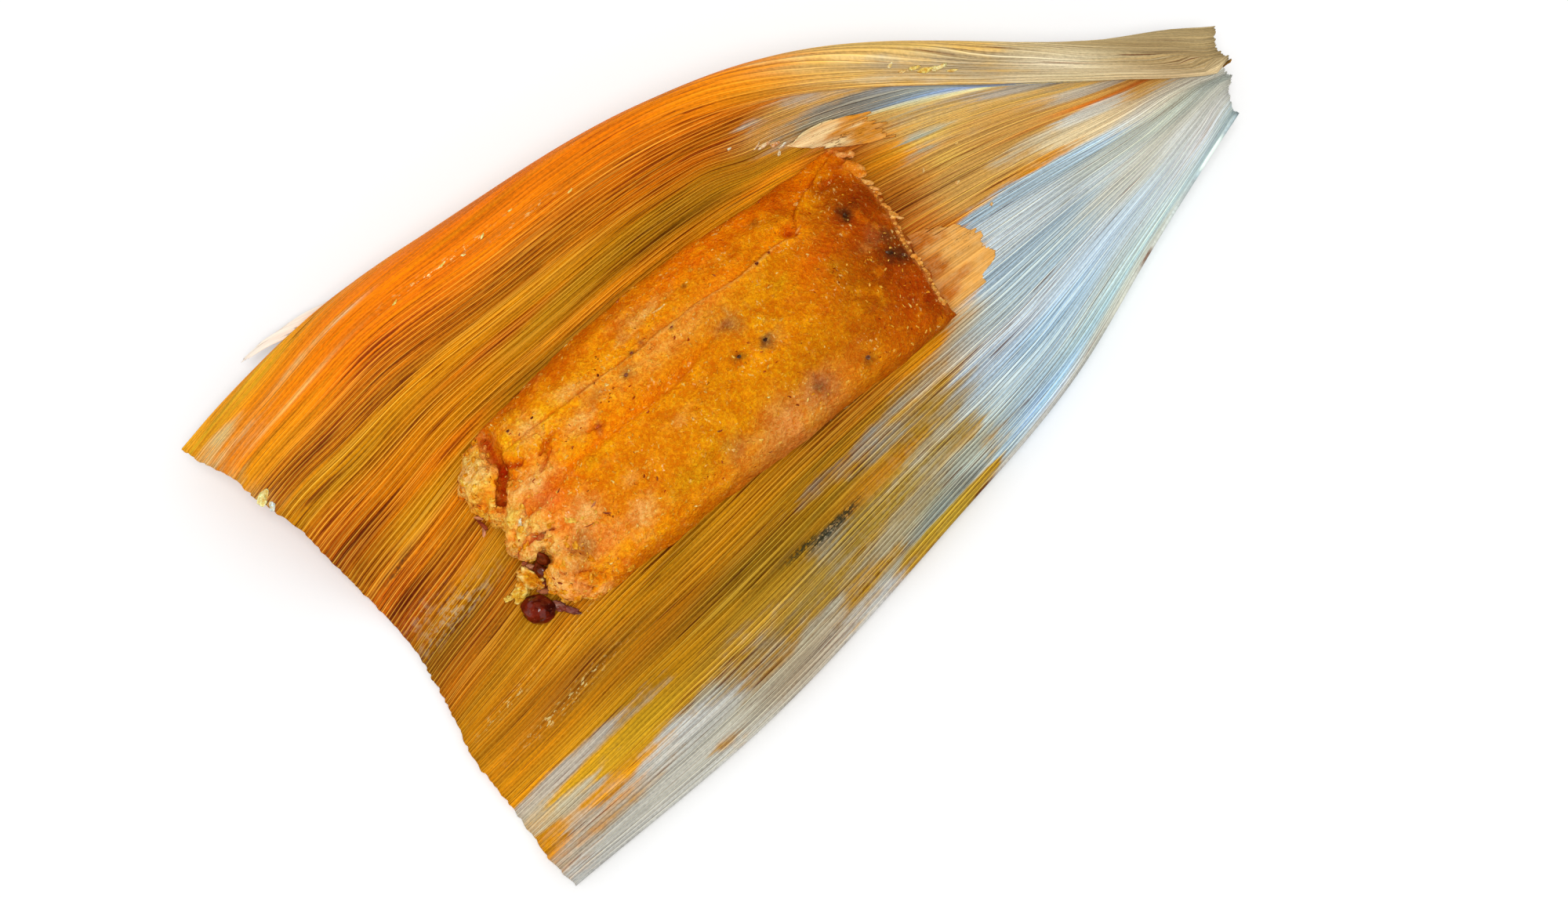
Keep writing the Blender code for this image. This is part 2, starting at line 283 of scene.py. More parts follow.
class Tree:
    # a node tree with short calls
    def __init__(self, tree):
        self.tree = tree

    def join(self, value, socket):
        self.tree.links.new(value, socket)

    def drive(self, node, **values):
        # joins values to sockets by name, an underscore standing for a space
        for key, value in values.items():
            self.join(value, node.inputs[key.replace("_", " ")])

    def add(self, kind, settings=None, **inputs):
        # a node with its settings and inputs, by name or by number as n0, n1
        node = self.tree.nodes.new(kind)
        for key, value in (settings or {}).items():
            setattr(node, key, value)
        for key, value in inputs.items():
            socket = node.inputs[int(key[1:])] if key[0] == "n" and key[1:].isdigit() else node.inputs[key]
            if isinstance(value, bpy.types.NodeSocket):
                self.join(value, socket)
            else:
                socket.default_value = value
        return node

    def math(self, operation, a, b=0.0, clamp=False):
        return self.add("ShaderNodeMath", {"operation": operation, "use_clamp": clamp}, n0=a, n1=b).outputs[0]

    def plus(self, a, b, clamp=False):
        return self.math("ADD", a, b, clamp)

    def minus(self, a, b, clamp=False):
        return self.math("SUBTRACT", a, b, clamp)

    def times(self, a, b, clamp=False):
        return self.math("MULTIPLY", a, b, clamp)

    def swing(self, value, strength):
        # the value's distance from a half, times a strength
        return self.times(self.minus(value, 0.5), strength)

    def mix(self, share, a, b, blendType="MIX"):
        settings = {"data_type": "RGBA", "blend_type": blendType}
        return self.add("ShaderNodeMix", settings, n0=share, n6=a, n7=b).outputs[2]

    def tinted(self, colour, tint, blendType="MULTIPLY"):
        return self.mix(1.0, colour, (*tint, 1), blendType)

    def scaled(self, colour, scale):
        return self.add("ShaderNodeVectorMath", {"operation": "SCALE"}, n0=colour, Scale=scale).outputs[0]

    def ramp(self, value, low, high):
        # 0 below low, 1 above high
        settings = {"interpolation_type": "SMOOTHSTEP", "clamp": True}
        return self.add("ShaderNodeMapRange", settings, n0=value, n1=low, n2=high, n3=0.0, n4=1.0).outputs[0]

    def noise(self, vector, scale, detail=2.0, roughness=0.5, stretch=None):
        if stretch:
            vector = self.add("ShaderNodeMapping", None, Vector=vector, Scale=stretch).outputs[0]
        inputs = {"Vector": vector, "Scale": scale, "Detail": detail, "Roughness": roughness}
        return self.add("ShaderNodeTexNoise", None, **inputs).outputs[0]

    def attribute(self, name, output="Color"):
        return self.add("ShaderNodeAttribute", {"attribute_name": name}).outputs[output]

    def fibrePlace(self):
        return self.add("ShaderNodeUVMap", {"uv_map": "fibreMap"}).outputs[0]

    def objectPlace(self):
        return self.add("ShaderNodeTexCoord").outputs["Object"]

    def relief(self, height, strength, distance):
        inputs = {"Strength": strength, "Distance": distance, "Height": height}
        return self.add("ShaderNodeBump", None, **inputs).outputs[0]

    def group(self, group, **inputs):
        return self.add("ShaderNodeGroup", {"node_tree": group}, **inputs).outputs


def newGroup(name, strengths, outputs):
    # takes a place and named strengths, puts out named values
    group = bpy.data.node_groups.new(name, "ShaderNodeTree")
    group.interface.new_socket(name="Vector", in_out="INPUT", socket_type="NodeSocketVector")
    for key, value in strengths.items():
        socket = group.interface.new_socket(name=key, in_out="INPUT", socket_type="NodeSocketFloat")
        socket.default_value = value
    for key in outputs:
        group.interface.new_socket(name=key, in_out="OUTPUT", socket_type="NodeSocketFloat")
    tree = Tree(group)
    return group, tree, tree.add("NodeGroupInput").outputs, tree.add("NodeGroupOutput")


def newMaterial(name, **uniform):
    material = bpy.data.materials.new(name)
    material.use_nodes = True
    tree = Tree(material.node_tree)
    shader = material.node_tree.nodes["Principled BSDF"]
    for key, value in uniform.items():
        shader.inputs[key.replace("_", " ")].default_value = value
    return material, tree, shader


def opaque(red, green, blue):
    # screen colour as a node's colour
    return (*paint(red, green, blue), 1)


def makeFibreGrain():
    # grain in the sheet's own millimetres, across and along: a shade near 1 of wide streaks, narrow fibres
    # and short specks; thin dark lines and thin light lines as masks; and a height
    group, t, given, end = newGroup("fibreGrain", {"Streak": 0.3, "Line": 0.3, "Speck": 0.2},
                                    ("Shade", "Dark", "Light", "Height"))
    place = given["Vector"]
    streaks = t.ramp(t.noise(place, 1.0, 3.0, 0.6, (0.42, 0.018, 1.0)), 0.30, 0.70)
    fibres = t.ramp(t.noise(place, 1.0, 2.0, 0.55, (2.6, 0.035, 1.0)), 0.32, 0.68)
    specks = t.ramp(t.noise(place, 1.0, 3.0, 0.65, (2.4, 1.1, 1.0)), 0.30, 0.70)
    shade = t.plus(1.0, t.swing(streaks, given["Streak"]))
    shade = t.plus(shade, t.swing(fibres, given["Line"]))
    shade = t.plus(shade, t.swing(specks, given["Speck"]))
    patchy = t.swing(t.noise(place, 1.0, 2.0, 0.5, (0.10, 0.022, 1.0)), 0.35)
    dark = t.plus(t.noise(place, 1.0, 2.0, 0.5, (2.1, 0.045, 3.0)), patchy)
    light = t.ramp(t.plus(t.noise(place, 1.0, 2.0, 0.5, (2.2, 0.022, 7.0)), patchy), 0.58, 0.64)
    height = t.plus(t.times(fibres, 0.5), t.times(specks, 0.15))
    t.drive(end, Shade=shade, Dark=dark, Light=light, Height=height)
    return group


def makeCornGrain():
    # cornmeal: a mottled shade near 1, ragged dark flecks, pale grains, wet glints that the material paints
    # as highlights, and a grainy height
    group, t, given, end = newGroup("cornGrain", {"Cloud": 0.3, "Fleck": 1.0, "Grain": 0.5},
                                    ("Shade", "Fleck", "Grain", "Glint", "Height"))
    place = given["Vector"]
    clouds = t.times(t.ramp(t.noise(place, 300.0, 4.0, 0.65), 0.30, 0.70), 0.6)
    fine = t.ramp(t.noise(place, 1300.0, 3.0, 0.7), 0.30, 0.70)
    shade = t.plus(1.0, t.times(t.minus(clouds, 0.3), given["Cloud"]))
    shade = t.plus(shade, t.swing(fine, given["Cloud"]))
    rare = t.ramp(t.noise(place, 170.0, 2.0, 0.6, (1.0, 1.0, 3.0)), 0.60, 0.68)
    ragged = t.ramp(t.noise(place, 1150.0, 2.0, 0.6), 0.60, 0.66)
    flecks = t.times(t.times(rare, ragged), given["Fleck"])
    grains = t.ramp(t.noise(place, 1500.0, 2.0, 0.5, (1.0, 1.0, 1.4)), 0.55, 0.66)
    wetGlints = t.ramp(t.noise(place, 150.0, 4.0, 0.65), 0.50, 0.64)
    glintDrops = t.ramp(t.noise(place, 1500.0, 2.0, 0.5, (1.0, 0.7, 1.0)), 0.62, 0.67)
    height = t.plus(t.times(fine, 0.5), t.times(clouds, 0.8))
    t.drive(end, Shade=shade, Fleck=flecks, Grain=t.times(grains, given["Grain"]), Glint=t.times(wetGlints, glintDrops),
            Height=t.plus(height, t.times(grains, 0.35)))
    return group


fibreGrain = makeFibreGrain()
cornGrain = makeCornGrain()


# husk: one sheet, worked out as (share of the length, share of the girth)

huskLines = {                                   # by share of the way across: x of both ends of a fibre
    "cutEndX": [(0, -106.6), (0.25, -106.5), (0.5, -103.2), (0.72, -107.5), (0.86, -112), (1, -118)],
    "tipEndX": [(0, 109.7), (0.3, 113.5), (0.6, 116), (1, 118.6)],
    # by share of the length, in mm
    "flatEdgeY": [(0, -65.6), (0.25, -61), (0.5, -50.2), (0.7, -39.6), (0.85, -26.5), (1, -13.9)],
    "flatEdgeZ": [(0, 3), (0.25, 3), (0.5, 4.5), (0.7, 6.5), (0.85, 9), (1, 10.5)],
    "floorZ": [(0, 0), (0.62, 0), (0.68, 0), (0.78, 1.4), (0.9, 5), (1, 8.6)],
    "footY": [
        (0, 0), (0.1, 12), (0.2, 22), (0.35, 28), (0.5, 31), (0.62, 31.5), (0.75, 20), (0.88, 6), (1, -6),
    ],
    "crestY": [
        (0, 36), (0.1, 50), (0.2, 56), (0.35, 58.2), (0.5, 56.5), (0.6, 51.5), (0.72, 38.5), (0.88, 15),
        (1, -3),
    ],
    "crestZ": [
        (0, 13.5), (0.1, 18.5), (0.2, 23), (0.35, 26.3), (0.5, 27.2), (0.7, 25), (0.88, 17.6), (1, 11.6),
    ],
    "lipY": [
        (0, 59), (0.07, 63.5), (0.16, 69), (0.3, 68), (0.5, 64), (0.68, 51), (0.8, 32.5), (0.88, 20.5),
        (1, 5.7),
    ],
    "lipZ": [
        (0, 9.5), (0.07, 9), (0.16, 5), (0.3, 3), (0.5, 3.5), (0.68, 6), (0.8, 8.5), (0.88, 11), (1, 13),
    ],
    "wallFootRun": [(0, 0.5), (0.5, 0.55), (0.7, 0.85), (1, 0.8)],
    "wallCrestRun": [(0, 0.5), (0.5, 0.4), (0.7, 0.28), (1, 0.3)],
    # where the fibres run: the rolled band's lower edge, the swing at the cut end, the fan to the tip
    "bandEdge": [
        (0, 0.785), (0.5, 0.785), (0.55, 0.783), (0.6, 0.775), (0.65, 0.765), (0.7, 0.755), (0.75, 0.747),
        (0.8, 0.742), (0.85, 0.746), (0.9, 0.74), (0.93, 0.715), (0.96, 0.675), (1, 0.62),
    ],
    "cutSwingShare": [(0, 0), (0.45, 0.1), (0.6, 0.6), (0.68, 0.85), (0.75, 1), (0.86, 1), (1, 0)],
    "cutFlare": [(0, 0), (0.25, 0), (0.38, 0.011), (0.5, 0.009), (0.65, 0.006), (0.8, 0), (1, 0)],
    "tipFan": [
        (0, 0), (0.6, 0), (0.68, 0.006), (0.75, 0.02), (0.8, 0.035), (0.85, 0.055), (0.9, 0.085),
        (0.95, 0.145), (1, 0.22),
    ],
    "tipFanShare": [(0, 0), (0.1, 1), (0.35, 1), (0.45, 1.5), (0.55, 2.1), (0.8, 2.2)],
}
husk = {
    # points along and across; then mm, or shares of the length and of the way across where they are small
    "rows": 84, "columns": 961, "underEvery": 6, "seed": 11, "length": 225, "girth": 145, "swayGirth": 140,
    "thickness": 0.4, "clearance": 0.15, "sway": 0.45, "cutRough": 0.55, "tipRough": 1.3,
    "ribs": 164, "ribHeight": 0.16, "bandFibre": 0.785, "bandStep": 1.1, "bandTuck": 0.03,
    "creaseFibre": 0.275, "creaseDepth": 0.7, "creaseWidth": 0.035, "tipBack": 0.8,
    "cutSwing": 0.088, "cutSwingReach": 0.155, "cutFlareReach": 0.04,
    "jog": 0.022, "jogFibre": 0.69, "jogWidth": 0.055, "jogFrom": 0.505, "jogTo": 0.57,
    # how far the stain's edge bleeds along a rib, how much of it is widened and by how much, how strongly the
    # ribs go in pairs on the dry part, its darkness, what a warm rib adds to red, green and blue, the rolled
    # band's shadow, and how much of the cover the underside keeps
    "bleed": 0.01, "soften": 0.4, "widen": 2.2, "paired": 0.9, "dryShade": 0.92,
    "warmShift": (0.04, -0.03, -0.06), "bandShadow": 0.65, "underCover": 0.75,
    # for its height seen from above: x of both ends, y from, to and steps, share of the girth up to the crest
    "planX": (-106.0, 114.5), "planY": (-60, 52, 225), "crestShare": 0.74,
    # its material: cover at which the stain starts and is full, strengths of the fibre grain, then how
    # strongly each mark shows and its colour, where the gaps and the side beside each vein are painted shade
    # and the glints painted highlights, and the roughness and relief
    "soaked": (0.22, 0.78), "streak": 0.10, "line": 0.42, "speck": 0.30, "darker": (0.34, 0.17, 0.12),
    "gaps": 0.85, "lines": 0.85, "besideVein": 0.75, "lightLines": 0.62, "veinScale": (1.10, 1.12, 1.05),
    "veinAddDry": (0.40, 0.385, 0.29, 1), "veinAddOily": (0.36, 0.25, 0.035, 1),
    "film": 0.6, "filmTone": (205, 190, 150), "mould": 0.9, "mouldTone": (34, 40, 26),
    "glint": 0.9, "glintTone": (255, 236, 150), "rough": 0.40, "roughSwing": 0.34,
    "relief": 0.7, "reliefDepth": 0.00025,
}


def huskSection(along):
    # cross-sections (y, z): curled edge, floor, wall up to the crest, and the lip falling behind it
    along = along[:, None]
    t = np.linspace(0, 1, 64)[None, :]
    line = {key: through(huskLines[key], along) for key in huskLines if key[-1] in "YZ" or key[:4] == "wall"}
    floor = np.maximum(line["floorZ"], 0)
    floorY = line["flatEdgeY"] + t * (line["footY"] - line["flatEdgeY"])
    floorZ = floor + (line["flatEdgeZ"] - floor) * np.clip(1 - t / 0.3, 0, 1)**2
    wall = line["crestY"] - line["footY"]
    wallY = bezier(line["footY"], line["footY"] + line["wallFootRun"] * wall,
                   line["crestY"] - line["wallCrestRun"] * wall, line["crestY"], t)
    wallZ = bezier(floor, floor, line["crestZ"], line["crestZ"], t)
    lip, drop = line["lipY"] - line["crestY"], line["crestZ"] - line["lipZ"]
    lipY = bezier(line["crestY"], line["crestY"] + 0.6 * lip, line["lipY"] - 0.12 * lip, line["lipY"], t)
    lipZ = bezier(line["crestZ"], line["crestZ"], line["lipZ"] + 0.5 * drop, line["lipZ"], t)
    return (np.concatenate([floorY, wallY[:, 1:], lipY[:, 1:]], axis=1),
            np.concatenate([floorZ, wallZ[:, 1:], lipZ[:, 1:]], axis=1))


def sampleSections(rows, columns):
    # the sections sampled at even shares of their own girth, kept as two tables
    y, z = huskSection(np.linspace(0, 1, rows))
    girth = np.cumsum(np.hypot(np.diff(y, prepend=y[:, :1]), np.diff(z, prepend=z[:, :1])), axis=1)
    share = np.linspace(0, 1, columns)
    tableY = np.stack([np.interp(share * g[-1], g, row) for g, row in zip(girth, y)])
    tableZ = np.stack([np.interp(share * g[-1], g, row) for g, row in zip(girth, z)])
    return tableY, tableZ


sectionY, sectionZ = sampleSections(301, 501)


def readTable(table, along, across):
    # table value between its four nearest entries
    i = np.clip(along, 0, 1) * (table.shape[0] - 1)
    j = np.clip(across, 0, 1) * (table.shape[1] - 1)
    i0 = np.minimum(i.astype(int), table.shape[0] - 2)
    j0 = np.minimum(j.astype(int), table.shape[1] - 2)
    u, v = i - i0, j - j0
    return ((table[i0, j0] * (1 - v) + table[i0, j0 + 1] * v) * (1 - u)
            + (table[i0 + 1, j0] * (1 - v) + table[i0 + 1, j0 + 1] * v) * u)


def huskPoint(along, across):
    # place on the sheet's lower face: x runs between the two ends, y and z come from the sections
    cutX, tipX = through(huskLines["cutEndX"], across), through(huskLines["tipEndX"], across)
    return np.stack([cutX + along * (tipX - cutX), readTable(sectionY, along, across),
                     readTable(sectionZ, along, across)], axis=-1)


def huskNormal(along, across):
    # cross product of small steps along and across
    step = 0.004
    a = huskPoint(np.minimum(along + step, 1), across) - huskPoint(np.maximum(along - step, 0), across)
    b = huskPoint(along, np.minimum(across + step, 1)) - huskPoint(along, np.maximum(across - step, 0))
    return unitRows(np.cross(a, b))


def fibreAcross(along, fibre):
    # where a fibre lies across the sheet: swung over at the cut end, fanned towards the tip, and there tucked
    # against the lower edge of the rolled band
    band = husk["bandFibre"]
    edge = through(huskLines["bandEdge"], along, True)
    fan = through(huskLines["tipFan"], along, True)
    fanned = fibre + fan * through(huskLines["tipFanShare"], fibre, True)
    soft = 0.0002 + 0.0035 * ease(0.55, 0.75, along)
    tucked = edge - soft * np.logaddexp(0, (edge - fanned) / soft)
    under = (1 - husk["bandTuck"]) * tucked + husk["bandTuck"] * edge * fibre / band
    over = edge + (fibre - band) / (1 - band) * (1 - edge)
    swingShare, flare = (through(huskLines[key], fibre, True) for key in ("cutSwingShare", "cutFlare"))
    swing = husk["cutSwing"] * bump(along, husk["cutSwingReach"]) * swingShare
    swing = swing - flare * np.exp(-along / husk["cutFlareReach"])
    jogged = ease(husk["jogFrom"], husk["jogTo"], along)
    swing = swing - husk["jog"] * jogged * bump(fibre - husk["jogFibre"], husk["jogWidth"])
    return np.clip(np.where(fibre < band, under, over) + swing, 0, 1)


def ribRandom(offset, low, high):
    return np.random.default_rng(husk["seed"] + offset).uniform(low, high, husk["ribs"])


ribWidths = ribRandom(0, 0.72, 1.28)
ribEdges = np.concatenate([[0], np.cumsum(ribWidths)]) / ribWidths.sum()
ribStrength = ribRandom(1, 0.2, 1.4)
ribTone = ribRandom(2, -1, 1)
ribReach = ribRandom(3, -1, 1)


def ribAt(fibre):
    # which rib a fibre belongs to, and its share of the way over that rib
    index = np.clip(np.searchsorted(ribEdges, fibre, side="right") - 1, 0, husk["ribs"] - 1)
    return index, (fibre - ribEdges[index]) / (ribEdges[index + 1] - ribEdges[index])


def fibreNoise(fibre, along, across, lengthwise, offset):
    # noise drawn out along the fibres: cells across the sheet and cells along it
    return latticeNoise(fibre * across, along * lengthwise, 0 * fibre, husk["seed"] + offset)


def bandRelief(along, fibre):
    # the rolled band stands over the sheet below it near the tip, highest at its lower edge
    over = (fibre >= husk["bandFibre"]) * np.exp(-(fibre - husk["bandFibre"]) / 0.05)
    return husk["bandStep"] * over * ease(0.58, 0.76, along)


def huskLift(along, across, fibre, ribbed=1.0):
    # height of the sheet's top over its base: a slow sway, ribs, the band's step and the crease to the tip
    x, y = along * husk["length"], across * husk["swayGirth"]
    sway = husk["sway"] * (0.5 + 0.5 * layeredNoise(x / 40, y / 12, 0 * x, husk["seed"] + 10, 2) / 1.5)
    index, share = ribAt(fibre)
    ridge = 1 - np.abs(2 * share - 1)**2
    calm = 1 - 0.75 * ease(0.8, 0.84, fibre) * (1 - ease(0.55, 0.68, along)) * ease(0.1, 0.2, along)
    squeeze = 1 - 0.6 * ease(0.75, 1.0, along)
    ribs = husk["ribHeight"] * ribStrength[index] * ridge * calm * squeeze
    beside = np.exp(-np.abs(fibre - husk["creaseFibre"]) / husk["creaseWidth"])
    crease = -husk["creaseDepth"] * beside * ease(0.6, 0.95, along)
    return sway + ribbed * ribs + bandRelief(along, fibre) + crease * 0.6 + 0.4


def huskTop(along, fibre, ribbed=1.0):
    # a place on the finished top of the sheet
    across = fibreAcross(along, fibre)
    lift = husk["clearance"] + husk["thickness"] + huskLift(along, across, fibre, ribbed)
    return huskPoint(along, across) + huskNormal(along, across) * lift[..., None]


# names of the husk's tones: colour, darkness of the painted shade in the gaps between ribs, lightness of the
# veins
huskTones = {
    "vividOrange": (255, 124, 0, 0.2, 0.1), "orange": (248, 138, 4, 0.3, 0.2),
    "orangeWall": (222, 124, 2, 1, 0.85), "rustWall": (206, 104, 2, 1.15, 0.85),
    "goldWall": (220, 144, 8, 1, 0.85), "brownWall": (190, 104, 6, 1.4, 0.9),
    "oliveGold": (204, 138, 6, 0.8, 0.75), "olive": (176, 126, 10, 0.95, 0.75),
    "darkOlive": (140, 98, 8, 1.1, 0.65), "yellowOlive": (198, 142, 16, 0.5, 0.6),
    "softGold": (204, 138, 6, 0.45, 0.38), "softSilver": (206, 208, 206, 0.14, 0.4),
    "amber": (222, 142, 8, 0.3, 0.35), "amberYellow": (236, 178, 34, 0.2, 0.3),
    "brown": (164, 92, 10, 0.9, 0.45), "rust": (208, 108, 8, 0.4, 0.25), "straw": (226, 190, 116, 0.4, 0.8),
    "goldStraw": (224, 180, 100, 0.45, 0.8), "goldTan": (208, 160, 84, 0.6, 0.8),
    "cream": (238, 216, 168, 0.3, 0.6), "tanOrange": (228, 156, 84, 0.3, 0.4),
    "khaki": (192, 166, 114, 0.35, 0.35), "greyTan": (190, 168, 126, 0.6, 0.8),
    "greyBeige": (206, 192, 158, 0.2, 0.35), "lilac": (200, 188, 170, 0.15, 0.25),
    "stoneGrey": (166, 160, 138, 0.5, 0.8), "slate": (136, 134, 122, 0.6, 0.7),
    "paleStone": (202, 202, 190, 0.25, 0.6), "blueGrey": (172, 190, 192, 0.5, 1),
    "paleBlue": (172, 196, 208, 0.5, 1), "skyBlue": (166, 190, 204, 0.5, 1),
    "whiteBlue": (196, 210, 216, 0.45, 1), "paleGreen": (198, 206, 198, 0.5, 0.95),
    "whiteCream": (220, 220, 208, 0.45, 0.9), "blackGreen": (40, 46, 34, 0.3, 0.1),
    "moss": (158, 132, 58, 0.7, 0.75), "mossGold": (178, 132, 34, 0.7, 0.7),
}
huskMix = {name: np.append(paint(*tone[:3]), tone[3:]) for name, tone in huskTones.items()}
# the oily stain, with painted shade in its dark olive rows beside the masa: share of the length, fibre, reach
# along, reach across, tone
oilStains = byTone({
    "amber": [(0.03, 0.21, 0.06, 0.03), (0.07, 0.09, 0.05, 0.01), (0, 0.1, 0.02, 0.03),
        (0.48, 0.14, 0.04, 0.012), (0.6, 0.245, 0.05, 0.015), (0.03, 0.785, 0.05, 0.012),
        (0.6, 0.805, 0.04, 0.012), (0.67, 0.53, 0.03, 0.06), (0.8, 0.405, 0.05, 0.008),
        (0.4, 0.98, 0.2, 0.03)],
    "softGold": [(0.03, 0.27, 0.06, 0.015), (0.12, 0.18, 0.08, 0.02), (0.24, 0.22, 0.09, 0.025),
        (0.22, 0.165, 0.08, 0.02), (0.4, 0.165, 0.05, 0.015), (0.03, 0.33, 0.05, 0.025)],
    "brown": [(0.13, 0.24, 0.06, 0.015)],
    "olive": [(0.31, 0.18, 0.05, 0.015), (0.03, 0.44, 0.05, 0.015), (0.4, 0.665, 0.1, 0.014)],
    "yellowOlive": [(0.34, 0.145, 0.06, 0.015), (0.21, 0.02, 0.03, 0.015), (0.31, 0.658, 0.05, 0.012),
        (0.53, 0.672, 0.03, 0.014), (0.565, 0.665, 0.03, 0.022)],
    "mossGold": [(0.28, 0.11, 0.06, 0.02), (0.27, 0.06, 0.05, 0.025), (0.42, 0.035, 0.07, 0.02),
        (0.5, 0.01, 0.03, 0.01), (0.54, 0.17, 0.05, 0.025), (0.58, 0.04, 0.04, 0.025)],
    "amberYellow": [(0.1, 0.125, 0.07, 0.02), (0.06, 0.94, 0.08, 0.04)],
    "goldWall": [(0.38, 0.22, 0.1, 0.025), (0.02, 0.38, 0.05, 0.015), (0.2, 0.7, 0.08, 0.014),
        (0.17, 0.665, 0.06, 0.013), (0.36, 0.705, 0.1, 0.01)],
    "brownWall": [(0.48, 0.24, 0.06, 0.015), (0.09, 0.42, 0.05, 0.015), (0.05, 0.515, 0.06, 0.012),
        (0.02, 0.625, 0.04, 0.01), (0.08, 0.737, 0.09, 0.012), (0.31, 0.752, 0.09, 0.016),
        (0.53, 0.76, 0.04, 0.014)],
    "moss": [(0.45, 0.1, 0.06, 0.025), (0.36, 0.08, 0.06, 0.025), (0.55, 0.09, 0.05, 0.035)],
    "oliveGold": [(0.08, 0.485, 0.05, 0.012), (0.06, 0.59, 0.06, 0.014), (0.07, 0.7, 0.07, 0.012),
        (0.19, 0.635, 0.06, 0.01), (0.3, 0.4, 0.16, 0.12)],
    "orangeWall": [(0.07, 0.553, 0.07, 0.009), (0.11, 0.61, 0.06, 0.009), (0.1, 0.65, 0.08, 0.018)],
    "rustWall": [(0.2, 0.765, 0.07, 0.012), (0.25, 0.682, 0.05, 0.008), (0.45, 0.72, 0.08, 0.014),
        (0.45, 0.775, 0.1, 0.014), (0.66, 0.44, 0.03, 0.03)],
    # dark olive between the masa and the wall is painted shade
    "darkOlive": [(0.27, 0.617, 0.07, 0.012), (0.42, 0.633, 0.1, 0.01)],
    "goldTan": [(0.59, 0.72, 0.03, 0.015), (0.71, 0.45, 0.04, 0.025), (0.71, 0.505, 0.04, 0.015),
        (0.75, 0.42, 0.05, 0.015), (0.78, 0.495, 0.05, 0.012), (0.8, 0.54, 0.06, 0.02),
        (0.69, 0.635, 0.03, 0.018)],
    "vividOrange": [(0.2, 0.83, 0.14, 0.034), (0.4, 0.835, 0.12, 0.03)],
    "orange": [(0.06, 0.83, 0.05, 0.022), (0.54, 0.825, 0.05, 0.022), (0.34, 0.92, 0.2, 0.035)],
    "goldStraw": [(0.75, 0.6, 0.05, 0.014), (0.84, 0.59, 0.05, 0.025), (0.92, 0.47, 0.04, 0.03),
        (0.9, 0.44, 0.05, 0.015), (0.68, 0.8, 0.06, 0.02), (0.8, 0.8, 0.06, 0.012),
        (0.66, 0.745, 0.05, 0.015), (0.7, 0.9, 0.08, 0.03)],
})
# the dry husk under it, the same way
dryStains = byTone({
    "greyBeige": [(0.02, 0.12, 0.03, 0.025), (0.78, 0.445, 0.04, 0.015), (0.9, 0.56, 0.03, 0.02)],
    "lilac": [(0.06, 0.155, 0.05, 0.015), (0.05, 0.07, 0.05, 0.02), (0.8, 0.01, 0.06, 0.012),
        (0.76, 0.48, 0.04, 0.008), (0.8, 0.62, 0.04, 0.02), (0.86, 0.54, 0.04, 0.016),
        (0.62, 0.76, 0.03, 0.016)],
    "softSilver": [(0.12, 0.02, 0.06, 0.02), (0.15, 0.07, 0.04, 0.015), (0.2, 0.05, 0.03, 0.02),
        (0.29, 0.02, 0.05, 0.015)],
    "stoneGrey": [(0.28, 0.1, 0.05, 0.03), (0.41, 0.19, 0.04, 0.02), (0.46, 0.06, 0.05, 0.015),
        (0.5, 0.19, 0.05, 0.03), (0.53, 0.11, 0.04, 0.025), (0.57, 0.14, 0.03, 0.02),
        (0.7, 0.54, 0.03, 0.016), (0.72, 0.575, 0.03, 0.01), (0.86, 0.62, 0.04, 0.02),
        (0.62, 0.705, 0.04, 0.012), (0.68, 0.77, 0.04, 0.012)],
    "paleStone": [(0.34, 0.045, 0.03, 0.008), (0.57, 0.745, 0.02, 0.01)],
    "slate": [(0.52, 0.035, 0.03, 0.008), (0.72, 0.715, 0.05, 0.014), (0.78, 0.7, 0.04, 0.014)],
    "blueGrey": [(0.57, 0.055, 0.02, 0.015), (0.66, 0.2, 0.04, 0.016), (0.74, 0.04, 0.06, 0.015),
        (0.97, 0.03, 0.04, 0.03)],
    "greyTan": [(0.6, 0.21, 0.04, 0.03), (0.78, 0.52, 0.06, 0.018), (0.76, 0.59, 0.05, 0.015),
        (0.73, 0.635, 0.04, 0.014), (0.76, 0.83, 0.06, 0.02)],
    "skyBlue": [(0.64, 0.16, 0.03, 0.016), (0.64, 0.12, 0.04, 0.016), (0.65, 0.04, 0.04, 0.012),
        (0.72, 0.12, 0.05, 0.01), (0.78, 0.255, 0.06, 0.014), (0.76, 0.375, 0.04, 0.012)],
    "paleBlue": [(0.66, 0.08, 0.04, 0.016), (0.74, 0.09, 0.05, 0.015), (0.76, 0.21, 0.06, 0.018),
        (0.82, 0.37, 0.04, 0.015)],
    "whiteBlue": [(0.74, 0.17, 0.06, 0.015), (0.8, 0.15, 0.05, 0.02), (0.8, 0.29, 0.06, 0.014),
        (0.75, 0.34, 0.05, 0.015), (0.88, 0.1, 0.06, 0.05)],
    "paleGreen": [(0.82, 0.06, 0.06, 0.025), (0.88, 0.33, 0.05, 0.025), (0.96, 0.3, 0.04, 0.04)],
    "whiteCream": [(0.88, 0.22, 0.06, 0.04), (0.95, 0.12, 0.05, 0.07), (0.95, 0.39, 0.04, 0.03),
        (0.88, 0.465, 0.03, 0.012)],
    "cream": [(0.85, 0.425, 0.05, 0.015), (0.86, 0.82, 0.06, 0.02), (0.72, 0.8, 0.05, 0.01),
        (0.96, 0.795, 0.04, 0.01)],
    "straw": [(0.72, 0.67, 0.05, 0.008), (0.02, 0.86, 0.04, 0.02), (0.13, 0.85, 0.05, 0.012),
        (0.64, 0.83, 0.05, 0.02), (0.75, 0.95, 0.12, 0.04)],
    "tanOrange": [(0.04, 0.82, 0.05, 0.022), (0.3, 0.95, 0.2, 0.05)],
    "khaki": [(0.93, 0.92, 0.06, 0.06), (0.99, 0.86, 0.04, 0.06)],
})
